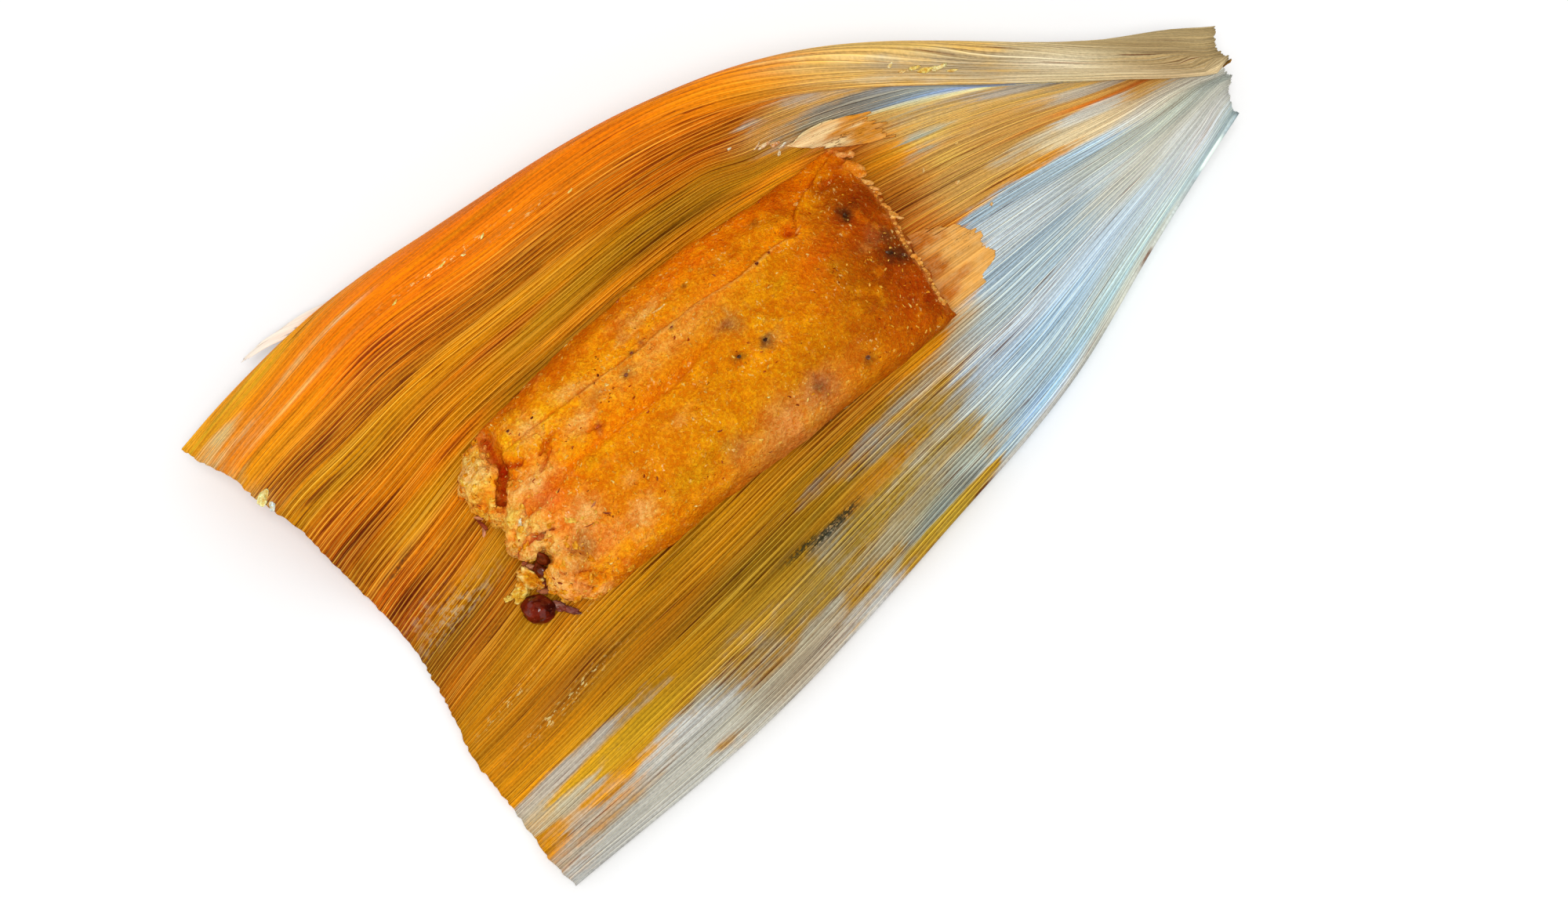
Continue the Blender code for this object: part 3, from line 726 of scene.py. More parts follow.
# how far the stain covers the husk, 0 to 1: share of the length, fibre, reach along, reach across, cover
oilCover = [
    (0.01, 0.13, 0.02, 0.015, 0.35), (0.06, 0.157, 0.05, 0.01, 0.1), (0.09, 0.135, 0.04, 0.008, 0.85),
    (0.04, 0.113, 0.03, 0.01, 0.3), (0, 0.09, 0.015, 0.02, 0.8), (0.045, 0.078, 0.015, 0.01, 0.2),
    (0.08, 0.088, 0.05, 0.007, 0.75), (0.08, 0.058, 0.05, 0.012, 0.45), (0.02, 0.03, 0.03, 0.02, 0.35),
    (0.12, 0.02, 0.05, 0.015, 0.05), (0.15, 0.073, 0.03, 0.01, 0.25), (0.16, 0.12, 0.04, 0.015, 0.9),
    (0.16, 0.155, 0.03, 0.01, 0.6), (0.1, 0.21, 0.12, 0.03, 1), (0.21, 0.02, 0.015, 0.01, 0.5),
    (0.2, 0.05, 0.03, 0.02, 0.15), (0.18, 0.085, 0.03, 0.012, 0.2), (0.28, 0.02, 0.04, 0.012, 0.2),
    (0.27, 0.07, 0.03, 0.02, 0.5), (0.27, 0.12, 0.03, 0.015, 0.7), (0.34, 0.04, 0.02, 0.01, 0.3),
    (0.33, 0.1, 0.04, 0.02, 0.8), (0.3, 0.18, 0.1, 0.025, 1), (0.4, 0.035, 0.03, 0.01, 0.65),
    (0.4, 0.015, 0.03, 0.008, 0.35), (0.4, 0.09, 0.03, 0.015, 0.65), (0.4, 0.13, 0.02, 0.01, 0.5),
    (0.42, 0.16, 0.04, 0.01, 0.85), (0.42, 0.19, 0.03, 0.01, 0.45), (0.46, 0.062, 0.03, 0.012, 0.35),
    (0.48, 0.14, 0.03, 0.012, 1), (0.47, 0.1, 0.03, 0.01, 0.75), (0.5, 0.18, 0.04, 0.015, 0.45),
    (0.5, 0.22, 0.04, 0.012, 0.75), (0.35, 0.23, 0.12, 0.02, 1), (0.52, 0.035, 0.03, 0.008, 0.2),
    (0.5, 0.01, 0.03, 0.007, 0.8), (0.53, 0.11, 0.03, 0.015, 0.5), (0.55, 0.165, 0.03, 0.015, 0.6),
    (0.565, 0.06, 0.015, 0.012, 0.15), (0.58, 0.09, 0.02, 0.01, 0.65), (0.58, 0.2, 0.03, 0.015, 0.5),
    (0.58, 0.245, 0.04, 0.01, 0.95), (0.6, 0.05, 0.02, 0.012, 0.45), (0.6, 0.15, 0.02, 0.015, 0.4),
    (0.63, 0.22, 0.02, 0.012, 0.3), (0.64, 0.25, 0.02, 0.008, 0.4), (0.65, 0.1, 0.03, 0.05, 0.02),
    (0.7, 0.2, 0.05, 0.04, 0), (0.72, 0.27, 0.04, 0.02, 0.05), (0.8, 0.15, 0.08, 0.12, 0),
    (0.92, 0.2, 0.08, 0.15, 0), (0.78, 0.35, 0.06, 0.03, 0), (0.66, 0.35, 0.02, 0.06, 1),
    (0.67, 0.53, 0.02, 0.08, 1), (0.7, 0.44, 0.04, 0.02, 0.95), (0.73, 0.405, 0.03, 0.008, 0.8),
    (0.76, 0.43, 0.03, 0.012, 0.7), (0.79, 0.445, 0.03, 0.012, 0.35), (0.8, 0.405, 0.04, 0.007, 0.75),
    (0.85, 0.44, 0.03, 0.014, 0.15), (0.88, 0.465, 0.02, 0.012, 0), (0.88, 0.41, 0.03, 0.01, 0.25),
    (0.92, 0.455, 0.02, 0.014, 0.65), (0.94, 0.5, 0.03, 0.025, 0.9), (0.7, 0.535, 0.02, 0.016, 0.35),
    (0.75, 0.52, 0.03, 0.012, 0.65), (0.8, 0.55, 0.04, 0.014, 0.65), (0.72, 0.575, 0.02, 0.008, 0.2),
    (0.76, 0.6, 0.04, 0.01, 0.65), (0.81, 0.62, 0.03, 0.014, 0.25), (0.8, 0.645, 0.05, 0.008, 0.45),
    (0.71, 0.625, 0.02, 0.01, 0.5), (0.68, 0.645, 0.02, 0.02, 0.9), (0.87, 0.54, 0.03, 0.012, 0.15),
    (0.86, 0.59, 0.03, 0.014, 0.55), (0.3, 0.5, 0.3, 0.12, 1), (0.25, 0.76, 0.25, 0.08, 1),
    (0.54, 0.67, 0.03, 0.03, 1), (0.53, 0.78, 0.04, 0.03, 1), (0.6, 0.805, 0.03, 0.012, 0.8),
    (0.57, 0.745, 0.015, 0.01, 0.3), (0.6, 0.7, 0.02, 0.02, 0.45), (0.68, 0.71, 0.04, 0.02, 0.1),
    (0.76, 0.7, 0.05, 0.02, 0), (0.62, 0.765, 0.02, 0.014, 0.3), (0.66, 0.745, 0.03, 0.01, 0.6),
    (0.72, 0.805, 0.04, 0.01, 0.5), (0.76, 0.83, 0.05, 0.014, 0.35), (0.88, 0.81, 0.06, 0.015, 0.25),
    (0.95, 0.8, 0.05, 0.02, 0.1), (0.04, 0.82, 0.03, 0.02, 0.45), (0.05, 0.785, 0.05, 0.012, 0.95),
    (0.12, 0.845, 0.04, 0.006, 0.45), (0.01, 0.85, 0.02, 0.02, 0.3), (0.93, 0.9, 0.06, 0.06, 0),
    (0.66, 0.88, 0.06, 0.04, 0.7),
]
# marks over both, most of them the husk's own colour and two of them painted shadow: as the stains, with the
# strength of the mark last
huskMarks = [
    (0.87, 0.492, 0.045, 0.008, "rust", 0.95), (0.8, 0.48, 0.035, 0.004, "rust", 0.6),
    (0.92, 0.5, 0.03, 0.016, "rust", 0.8), (0.77, 0.497, 0.014, 0.003, "brown", 0.7),
    # the two brown marks just past the masa's far end are painted shadow
    (0.655, 0.6, 0.014, 0.03, "brown", 0.8), (0.665, 0.46, 0.014, 0.02, "brown", 0.6),
    (0.36, 0.157, 0.03, 0.005, "blackGreen", 0.5), (0.41, 0.135, 0.022, 0.004, "slate", 0.8),
    (0.81, 0.285, 0.012, 0.005, "slate", 0.7), (0.32, 0.885, 0.03, 0.007, "straw", 0.5),
    (0.1, 0.845, 0.04, 0.004, "straw", 0.6), (0.09, 0.812, 0.045, 0.003, "straw", 0.7),
    (0.17, 0.842, 0.02, 0.0025, "cream", 0.7), (0, 0.745, 0.008, 0.02, "straw", 0.7),
    (0, 0.8, 0.006, 0.04, "straw", 0.6), (0, 0.5, 0.004, 0.3, "brown", 0.5),
]
# clusters where the painted shade in the gaps between the veins is stronger, as dark dashes: share of the
# length, fibre, reach along, reach across, strength
huskDashes = [
    (0.02, 0.628, 0.03, 0.008, 1), (0.03, 0.525, 0.03, 0.005, 1.2), (0.08, 0.522, 0.02, 0.004, 1),
    (0.06, 0.74, 0.04, 0.005, 1), (0.09, 0.727, 0.04, 0.004, 1), (0.16, 0.72, 0.03, 0.003, 0.8),
    (0.2, 0.706, 0.03, 0.003, 0.8), (0.31, 0.755, 0.04, 0.008, 1.3), (0.33, 0.735, 0.04, 0.006, 1.2),
    (0.26, 0.675, 0.03, 0.005, 0.9), (0.29, 0.625, 0.05, 0.012, 0.9), (0.02, 0.59, 0.025, 0.005, 0.8),
    (0.08, 0.382, 0.02, 0.004, 0.9), (0.4, 0.69, 0.06, 0.004, 0.9), (0.42, 0.64, 0.06, 0.008, 0.8),
    (0.2, 0.248, 0.02, 0.004, 1.2), (0.14, 0.243, 0.05, 0.003, 0.8), (0.3, 0.23, 0.06, 0.01, 0.6),
    (0.33, 0.16, 0.04, 0.01, 0.8), (0.6, 0.248, 0.04, 0.01, 0.6), (0.7, 0.46, 0.03, 0.02, 0.6),
    (0.16, 0.765, 0.14, 0.022, 0.6), (0.24, 0.72, 0.12, 0.02, 0.4), (0.4, 0.775, 0.1, 0.022, 0.5),
    (0.03, 0.56, 0.06, 0.05, 0.5), (0.02, 0.67, 0.06, 0.03, 0.6), (0.07, 0.79, 0.06, 0.012, 0.4),
    (0.74, 0.52, 0.05, 0.02, 0.6), (0.66, 0.705, 0.05, 0.02, 0.6), (0.47, 0.735, 0.06, 0.006, 0.8),
]
# smears over everything: as above, then 0 for a whitish dried film, 1 for greasy glints, which the material
# paints as highlights, 2 for dark mould, then the strength
huskSmears = [
    (0.045, 0.47, 0.04, 0.016, 0, 0.9), (0.085, 0.452, 0.03, 0.01, 0, 0.6),
    (0.02, 0.5, 0.02, 0.012, 0, 0.5), (0.11, 0.23, 0.05, 0.008, 1, 1), (0.055, 0.3, 0.03, 0.008, 1, 0.7),
    (0.5, 0.258, 0.022, 0.007, 1, 1), (0.25, 0.812, 0.05, 0.004, 1, 0.9), (0.33, 0.8, 0.03, 0.003, 1, 0.6),
    (0.2, 0.3, 0.06, 0.006, 1, 0.4), (0.372, 0.148, 0.02, 0.005, 2, 1.4),
    (0.405, 0.138, 0.026, 0.006, 2, 1.5), (0.43, 0.136, 0.022, 0.006, 2, 1.5),
    (0.305, 0.158, 0.01, 0.003, 2, 0.6), (0.05, 0.56, 0.014, 0.006, 2, 0.8),
    (0.085, 0.395, 0.02, 0.003, 2, 0.6), (0.43, 0.06, 0.08, 0.05, 0, 0.3),
    (0.52, 0.11, 0.05, 0.04, 0, 0.35), (0.6, 0.1, 0.04, 0.04, 0, 0.35), (0.02, 0.06, 0.06, 0.04, 0, 0.3),
]
# where the sheet is darker or paler than its stains, partly its own colour and partly painted light and
# shade: painted light lifts the wall beside the masa and the curled edges where the lamp leaves them darker,
# painted shadow darkens the husk just past the masa's far end; as above, then the multipliers of red, green
# and blue
huskTintsAndShading = [
    (0, 0.5, 0.05, 0.16, 0.68, 0.52, 0.5), (0.07, 0.4, 0.05, 0.06, 0.8, 0.7, 0.7),
    (0.08, 0.27, 0.08, 0.05, 0.88, 0.78, 0.8), (0.16, 0.13, 0.05, 0.03, 0.74, 0.8, 0.8),
    (0.32, 0.17, 0.15, 0.045, 0.58, 0.62, 0.75), (0.44, 0.2, 0.06, 0.03, 0.66, 0.68, 0.85),
    (0.15, 0.03, 0.18, 0.05, 0.88, 0.84, 0.74), (0.32, 0.02, 0.06, 0.03, 0.82, 0.7, 0.6),
    (0.36, 0.62, 0.18, 0.022, 2.3, 1.85, 1.2), (0.58, 0.62, 0.05, 0.02, 1.9, 1.3, 1),
    (0.2, 0.68, 0.12, 0.02, 0.9, 0.78, 0.8), (0.54, 0.68, 0.06, 0.02, 0.9, 0.74, 0.8),
    (0.59, 0.44, 0.05, 0.1, 0.66, 0.44, 0.5), (0.65, 0.5, 0.04, 0.12, 0.74, 0.68, 0.8),
    (0.82, 0.02, 0.16, 0.04, 1.28, 1.6, 1.75), (0.78, 0.12, 0.12, 0.06, 1.16, 1.26, 1.4),
    (0.65, 0.16, 0.05, 0.05, 1.25, 1.15, 1.15), (0.65, 0.26, 0.03, 0.02, 1.25, 1.35, 1.5),
    (0.76, 0.7, 0.06, 0.035, 1.15, 1.7, 2.4), (0.79, 0.68, 0.03, 0.02, 1.25, 1.25, 1.3),
    (0.72, 0.56, 0.03, 0.02, 1.12, 1.35, 1.4), (0.94, 0.6, 0.05, 0.22, 0.64, 0.48, 0.36),
    (0.87, 0.76, 0.03, 0.04, 0.74, 0.72, 0.64), (0.86, 0.62, 0.03, 0.03, 0.82, 0.78, 0.74),
    (0.51, 0.02, 0.04, 0.03, 0.88, 1.25, 1.5), (0.58, 0.07, 0.04, 0.04, 0.97, 0.84, 0.66),
    (0.27, 0.26, 0.05, 0.02, 0.78, 0.82, 1), (0.38, 0.5, 0.1, 0.04, 1.1, 1.1, 1),
    (0.44, 0.22, 0.13, 0.05, 0.84, 0.92, 1), (0.33, 0.2, 0.05, 0.02, 0.9, 0.88, 1),
    (0.46, 0.62, 0.11, 0.018, 1.35, 1.28, 1), (0.82, 0.68, 0.06, 0.02, 1.32, 1.36, 1.6),
    (0.94, 0.34, 0.03, 0.06, 1.26, 1.36, 1.3), (0.95, 0.07, 0.04, 0.06, 1.22, 1.2, 1.3),
    (0.94, 0.6, 0.04, 0.09, 0.94, 0.8, 0.8), (0.86, 0.38, 0.025, 0.02, 1.26, 1.3, 1.4),
    (0.67, 0.02, 0.05, 0.02, 1.05, 1.24, 1.7), (0.16, 0.38, 0.04, 0.018, 1.28, 1.24, 1),
    (0.16, 0.55, 0.04, 0.018, 1.24, 1.3, 1), (0.51, 0.02, 0.03, 0.02, 1.28, 1.1, 1),
    (0.09, 0.5, 0.04, 0.015, 1.18, 0.95, 1), (0.02, 0.62, 0.03, 0.05, 0.9, 0.8, 0.9),
    (0.02, 0.38, 0.03, 0.02, 0.9, 0.8, 1), (0.17, 0.32, 0.05, 0.02, 0.94, 0.78, 1),
    (0.72, 0.74, 0.03, 0.015, 1.14, 1.3, 1.5), (0.72, 0.5, 0.02, 0.015, 1.2, 1.4, 1.2),
    (0.72, 0.66, 0.04, 0.05, 0.96, 1.18, 1.6), (0.79, 0.71, 0.06, 0.04, 1.3, 1.34, 1.9),
    (0.08, 0.94, 0.12, 0.05, 1.8, 1.16, 1.6), (0.22, 0.2, 0.08, 0.025, 0.84, 0.72, 1),
    (0.3, 0.03, 0.08, 0.03, 0.88, 0.85, 0.7), (0.45, 0.13, 0.11, 0.03, 0.92, 0.94, 0.9),
    (0.26, 0.22, 0.08, 0.04, 0.9, 0.86, 1), (0.45, 0.62, 0.09, 0.016, 0.86, 0.84, 1),
    (0.65, 0.62, 0.03, 0.03, 0.9, 0.7, 0.6), (0.46, 0.07, 0.08, 0.03, 0.98, 0.86, 0.6),
    (0.06, 0.29, 0.06, 0.05, 0.92, 0.84, 1), (0.6, 0.38, 0.03, 0.07, 0.84, 0.74, 1),
    (0.38, 0.8, 0.1, 0.03, 0.92, 1.06, 1), (0.38, 0.74, 0.12, 0.03, 0.98, 1.1, 1),
    (0.34, 0.96, 0.12, 0.04, 1.16, 1.26, 0.5), (0.1, 0.985, 0.12, 0.022, 1, 0.78, 0.6),
    (0.69, 0.12, 0.05, 0.02, 0.86, 0.94, 0.98), (0.745, 0.715, 0.04, 0.016, 1.55, 1.25, 0.8),
    (0.72, 0.74, 0.03, 0.02, 1.3, 1.4, 1.8), (0.85, 0.68, 0.06, 0.025, 1.3, 1.28, 1.4),
    (0.86, 0.86, 0.04, 0.03, 1.25, 1.4, 1.8), (0.88, 0.38, 0.05, 0.02, 1.2, 1.24, 1.3),
    (0.86, 0.56, 0.03, 0.02, 1.2, 1.22, 1.2), (0.65, 0.6, 0.03, 0.03, 0.9, 0.74, 0.7),
    (0.65, 0.38, 0.02, 0.03, 0.84, 0.78, 0.9), (0.93, 0.19, 0.03, 0.03, 1.14, 1.18, 1.3),
    (0.58, 0.26, 0.02, 0.02, 1.1, 1.45, 1.6), (0.44, 0.74, 0.08, 0.03, 1.15, 1.22, 1),
    (0.37, 0.68, 0.1, 0.02, 1.2, 1.14, 1), (0.16, 0.52, 0.03, 0.04, 1.2, 1.15, 1),
    (0.02, 0.55, 0.05, 0.16, 0.98, 0.9, 1), (0.3, 0.02, 0.05, 0.02, 0.9, 0.84, 0.8),
    (0.58, 0.26, 0.02, 0.015, 1.05, 1.4, 1.3),
]


def stainLayer(a, f, stains, widen=1.0):
    # colour, gap and vein strengths of the stains blended by nearness, each stain widened across by a factor
    return byNearness(a, f, stains, [huskMix[row[4]] for row in stains], huskMix["oliveGold"], 1e-6, widen)


def huskPaint(along, across, fibre):
    # the two stain layers and the cover that the material breaks up, each bleeding along every rib by its own
    # reach; marks (two of them painted shadow past the masa's far end), tints that are partly painted light
    # and shade, and the painted shadow under the rolled band lie over both; then the strengths of the gaps'
    # painted shade and of the veins, which on the dry part go in pairs, a veined rib beside a plain one; the
    # smears, whose glints the material paints as highlights; the rib's place
    index, ribShare = ribAt(fibre)
    fine = fibreNoise(fibre, along, 420, 14, 20)
    drift = husk["bleed"] * (ribReach[index] + fibreNoise(fibre, along, 150, 5, 21) + 0.6 * fine)
    a, f = along + drift, fibre + 0.003 * fibreNoise(fibre, along, 20, 6, 22)
    oil = blend(stainLayer(a, f, oilStains), stainLayer(a, f, oilStains, husk["widen"]), husk["soften"])
    dry = stainLayer(a, f, dryStains)
    cover = byNearness(a, f, oilCover, column(oilCover, 4), ease(0.70, 0.60, along)[..., None], 1e-4)
    for row in huskMarks:
        share = row[5] * nearTo(a, f, row) * (0.85 + 0.4 * fine)
        oil, dry = blend(oil, huskMix[row[4]], share), blend(dry, huskMix[row[4]], share)
    shade = (1 + 0.07 * ribTone[index] + 0.12 * fibreNoise(fibre, along, 120, 7, 23) + 0.12 * fine
             + 0.07 * fibreNoise(fibre, along, 14, 9, 24))
    swap = (0.45 * fibreNoise(fibre, along, 84, 7, 25) + 0.5 * fibreNoise(fibre, along, 170, 6, 26)
            + 0.3 * fibreNoise(fibre, along, 24, 6, 27))
    warm = np.array(husk["warmShift"]) * np.clip(swap, -1, 1)[..., None]
    flat = fibre < husk["bandFibre"]
    edge = through(huskLines["bandEdge"], along, True)
    shadow = 1 - husk["bandShadow"] * ease(0.66, 0.78, along) * bump(across - edge, 0.010) * flat
    # tints: partly the sheet's own colour, partly painted light and painted shade
    for row in huskTintsAndShading:
        tint = tintOf(a, f, row)
        oil[..., :3] *= tint
        dry[..., :3] *= tint
    oilColour = oil[..., :3] * (1 + warm) * (np.clip(shade, 0.5, 1.6) * shadow)[..., None]
    dryShade = np.clip(1 + 0.55 * (shade - 1), 0.5, 1.6) * shadow
    dryColour = husk["dryShade"] * dry[..., :3] * dryShade[..., None]
    gap, vein = np.moveaxis(blend(dry[..., 3:], oil[..., 3:], cover[..., 0]), -1, 0)
    for row in huskDashes:
        gap = gap + row[4] * nearTo(along, fibre, row)
    vein = vein * (0.925 + 0.375 * ribTone[index * 7 % husk["ribs"]])
    paired = husk["paired"] * ease(0.60, 0.68, along) * flat
    place = index + ribShare
    gap = gap * (1 - paired * ease(0.45, 0.15, np.abs(place % 2 - 1)))
    vein = vein * (1 + paired * np.where(index % 2 == 0, 0.35, -0.75))
    slim = 0.725 + 0.275 * ribTone[index * 11 % husk["ribs"]]
    # three channels: dried film, greasy glints that the material paints as highlights, mould
    film = np.zeros(along.shape + (3,))
    for row in huskSmears:
        film[..., row[4]] += row[5] * nearTo(a, f, row)
    return (np.clip(oilColour, 0, 0.92), np.clip(dryColour, 0, 0.92), np.stack([gap, vein, slim], axis=-1),
            np.clip(film, 0, 1), cover, place[..., None])


def fibreMapOf(along, fibre):
    # a place on the sheet in its own millimetres, across and along
    return np.stack([fibre * husk["girth"], along * husk["length"]], axis=-1)


def makeHusk(material):
    # top grid on the finished surface and a coarser one under it, joined round the rim; both ends are torn
    # by pushing each fibre's end in or out a little
    along, fibre = shareGrid(husk["rows"], husk["columns"])
    across = fibreAcross(along, fibre)
    normal, base = huskNormal(along, across), huskPoint(along, across)
    lift = huskLift(along, across, fibre)
    top = base + normal * (husk["clearance"] + husk["thickness"] + lift)[..., None]
    low = base + normal * (husk["clearance"] + lift * 0.6)[..., None]
    f, seed = fibre[0], husk["seed"]
    cut = 0.9 * layeredNoise(f * 16, 0 * f, 0 * f, seed + 30, 4) + 0.5 * fibreNoise(f, 0 * f, 220, 1, 34)
    tip = layeredNoise(f * 9, 0 * f, 0 * f, seed + 40, 4) + 0.3 * fibreNoise(f, 0 * f, 160, 1, 44)
    cut, tip = cut * husk["cutRough"], tip * husk["tipRough"] - husk["tipBack"]
    for sheet in (top, low):
        sheet[..., 0] += cut * (1 - ease(0, 0.04, along)) + tip * ease(0.95, 1, along)
    under = slice(None, None, husk["underEvery"])
    topIds = gridIds(top)
    lowIds = gridIds(low[:, under], topIds.size)
    layers = (*huskPaint(along, across, fibre), fibreMapOf(along, fibre))
    oil, dry, rib, film, cover, place, uv = (stacked(layer, layer[:, under]) for layer in layers)
    cover[topIds.size:] *= husk["underCover"]
    piece = makeMesh("huskSheet", stacked(top, low[:, under]), shellFaces(topIds, lowIds), uv,
                     {"huskOil": oil, "huskDry": dry, "huskRib": rib, "huskFilmGlintMould": film},
                     {"huskCover": cover, "huskRibPlace": place})
    finishPiece(piece, material, "husk")


def huskMaterial():
    # the oily stain over the dry husk where cover plus noise is over a half, times fibre grain; thin lines go
    # dark, and so do the gaps between ribs and one side of each vein as painted shade; a thin vein on each
    # rib goes light; then dried film, mould and greasy glints, the glints painted into the colour as
    # highlights and also given a coat, each broken up by noise
    material, t, shader = newMaterial("driedHusk", Specular_IOR_Level=0.06, Coat_Roughness=0.12)
    where = t.fibrePlace()
    gap, veined, slim = t.add("ShaderNodeSeparateColor", None, Color=t.attribute("huskRib")).outputs
    dried, greasyGlints, mouldy = t.add("ShaderNodeSeparateColor", None, Color=t.attribute("huskFilmGlintMould")).outputs

    def fibreNoise(across, along, detail=3.0, roughness=0.6, layer=1.0):
        return t.noise(where, 1.0, detail, roughness, (across, along, layer))

    # share is the place over a rib, 0 to 1, wobbling along it; away is the distance from its crown, 0 to 1
    share = t.plus(t.attribute("huskRibPlace", "Fac"), t.swing(fibreNoise(0.5, 0.06, 2.0, 0.5), 0.35))
    share = t.math("FRACT", share)
    away = t.math("ABSOLUTE", t.minus(t.times(share, 2.0), 1.0))

    cover = t.plus(t.attribute("huskCover", "Fac"), t.swing(fibreNoise(0.75, 0.035), 0.8))
    cover = t.plus(cover, t.swing(fibreNoise(0.30, 0.13, 4.0, 0.65, 2.0), 0.8))
    soaked = t.ramp(cover, *husk["soaked"])
    stained = t.mix(soaked, t.attribute("huskDry"), t.attribute("huskOil"))
    grain = t.group(fibreGrain, Vector=where, Streak=husk["streak"], Line=husk["line"], Speck=husk["speck"])
    body = t.scaled(stained, grain["Shade"])
    dark = t.tinted(body, husk["darker"])

    # painted shade in the grooves between ribs, broken into dashes
    dashes = t.ramp(fibreNoise(0.9, 0.10), 0.38, 0.60)
    gaps = t.times(t.times(t.ramp(away, 0.72, 0.96), gap), dashes)
    lines = t.ramp(t.minus(grain["Dark"], t.times(gap, 0.07)), 0.345, 0.275)
    body = t.mix(t.plus(t.times(gaps, husk["gaps"]), t.times(lines, husk["lines"]), True), body, dark)
    # painted shadow along one side of each vein
    beside = t.ramp(t.math("ABSOLUTE", t.minus(share, 0.68)), 0.12, 0.04)
    body = t.mix(t.times(t.times(beside, veined), husk["besideVein"]), body, dark)

    strokes = t.ramp(fibreNoise(0.7, 0.03), 0.25, 0.50)
    thin = t.ramp(t.math("DIVIDE", away, slim), 0.44, 0.22)
    crowns = t.math("MAXIMUM", t.times(thin, strokes), t.times(grain["Light"], husk["lightLines"]))
    added = t.mix(soaked, husk["veinAddDry"], husk["veinAddOily"])
    lit = t.mix(1.0, t.tinted(stained, husk["veinScale"]), added, "ADD")
    body = t.mix(t.times(veined, crowns, True), body, lit)

    flakes = t.times(t.ramp(fibreNoise(0.9, 0.45, 4.0, 0.7), 0.46, 0.62), dried)
    body = t.mix(t.times(flakes, husk["film"]), body, opaque(*husk["filmTone"]))
    spots = t.times(t.ramp(fibreNoise(1.6, 0.7, 4.0, 0.7), 0.40, 0.52), mouldy)
    body = t.mix(t.times(spots, husk["mould"]), body, opaque(*husk["mouldTone"]))
    # painted highlight: glints mixed into the colour, and given a coat
    glint = t.times(t.ramp(fibreNoise(1.5, 0.55, 3.0, 0.7, 4.0), 0.56, 0.62), greasyGlints)
    body = t.mix(t.times(glint, husk["glint"]), body, opaque(*husk["glintTone"]))

    rough = t.plus(husk["rough"], t.times(fibreNoise(0.35, 0.05), husk["roughSwing"]))
    relief = t.relief(t.plus(grain["Height"], t.times(thin, 0.6)), husk["relief"], husk["reliefDepth"])
    t.drive(shader, Base_Color=body, Coat_Weight=glint, Roughness=rough, Normal=relief)
    return material


# design place to frame place: the sheet's own box centre goes to the middle of the CAD husk's box
coarse = huskPoint(*shareGrid(40, 36))
coarse = stacked(coarse, coarse + gridNormals(coarse))
huskLow, huskHigh = (np.array(corner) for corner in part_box("husk"))
designMiddle = (coarse.min(axis=0) + coarse.max(axis=0)) / 2 * mm
toFrameShift = (huskLow + huskHigh) / 2 - designMiddle
toFrameShift[2] = 0
print("design shift in mm:", np.round(toFrameShift / mm, 2))

makeHusk(huskMaterial())
print("husk made")


# masa: a slab whose top is a height over its own plan, s along from the broken end and t to the left

masa = {
    # points along and across; then mm, floor being its height over the husk's lower face
    "rows": 401, "columns": 189, "underEvery": 2, "seed": 60,
    "origin": (-68.0, 1.0), "turn": math.radians(6.6), "floor": 1.35, "height": 20.0,
    "dome": 0.004, "farSlope": 10.5, "nearSlope": 2.0, "power": 3.4, "rimShare": 0.42,
    "stepDrop": 1.3, "stepDropFar": 1.2, "stepEdge": 0.4, "shoulder": 0.7,
    "faintLines": 0.10, "grain": 0.15, "lumps": 0.5, "crumb": 1.4, "curd": 0.55, "ragged": 0.5,
    # its two arches, along and across: half length and rise; t of both sides at first; the flake that isn't
    # torn: s, t, radius, share
    "arches": ((56, 10), (24, 11)), "sides": (-22, 24), "smoothFlake": (-4.0, 18.0, 4.4, 0.85),
    # its material: strengths of the cornmeal's clouds, dark flecks, pale grains and wet glints, the tones
    # they are made of, the glints' tone being a painted highlight, roughness and relief
    "cloud": 0.95, "fleck": 0.9, "paleGrain": 0.50, "glint": 0.6, "deeper": (0.86, 0.66, 0.30),
    "paler": (1.14, 1.34, 1.50), "fleckTone": (128, 38, 6), "grainScale": (1.15, 1.40, 1.5),
    "grainAdd": (0.10, 0.09, 0.01), "glintTone": (255, 212, 120), "rough": 0.22, "roughSwing": 0.45,
    "relief": 0.9, "reliefDepth": 0.0005,
}
masaLines = {
    "brokenEnd": [
        (-24, 1), (-20.5, -2.5), (-18.6, -5), (-16, -6.8), (-13, -7.2), (-10.5, -5.6), (-9, -3.8),
        (-7, -3.6), (-5, -5.4), (-3, -7), (0, -7.8), (3, -5.9), (8, -6.4), (14, -7.4), (20, -5.6), (25, 1),
    ],
    "farEnd": [(-24, 98), (-15, 100), (-6, 102), (2, 105), (12, 106.5), (18, 107.5), (25, 106)],
    "leftSide": [(-7, 22), (16, 24.3), (38, 25.6), (60, 25.2), (82, 23.6), (107, 23)],
    "rightSide": [(-7, -19.5), (8, -21), (30, -22.2), (50, -23.6), (72, -24.8), (107, -24.8)],
    "step": [
        (-7, 15.5), (16, 13.4), (36, 11.4), (54, 10), (70, 8.8), (80, 9.6), (84.5, 9.2), (86.5, 12.4),
        (91, 15.4), (97, 18), (108, 22),
    ],
    "mainGroove": [(-8, 0.8), (10, 2), (38, 0.6), (58, 3), (66, 4)],
    "sideGroove": [(-8, -14.5), (10, -15.5), (40, -17.5), (70, -19.5), (92, -20.5)],
    "shoulderRidge": [(5, 22.6), (24, 22), (45, 20.6), (66, 18.4), (84, 13.9)],
}


def masaPlan(s, t):
    # plan place of (s, t): turned a little from the husk's length
    c, d = math.cos(masa["turn"]), math.sin(masa["turn"])
    return masa["origin"][0] + s * c - t * d, masa["origin"][1] + s * d + t * c


def fromLine(s, t, name):
    # distance to the left of a line that runs along the slab
    return t - through(masaLines[name], s)


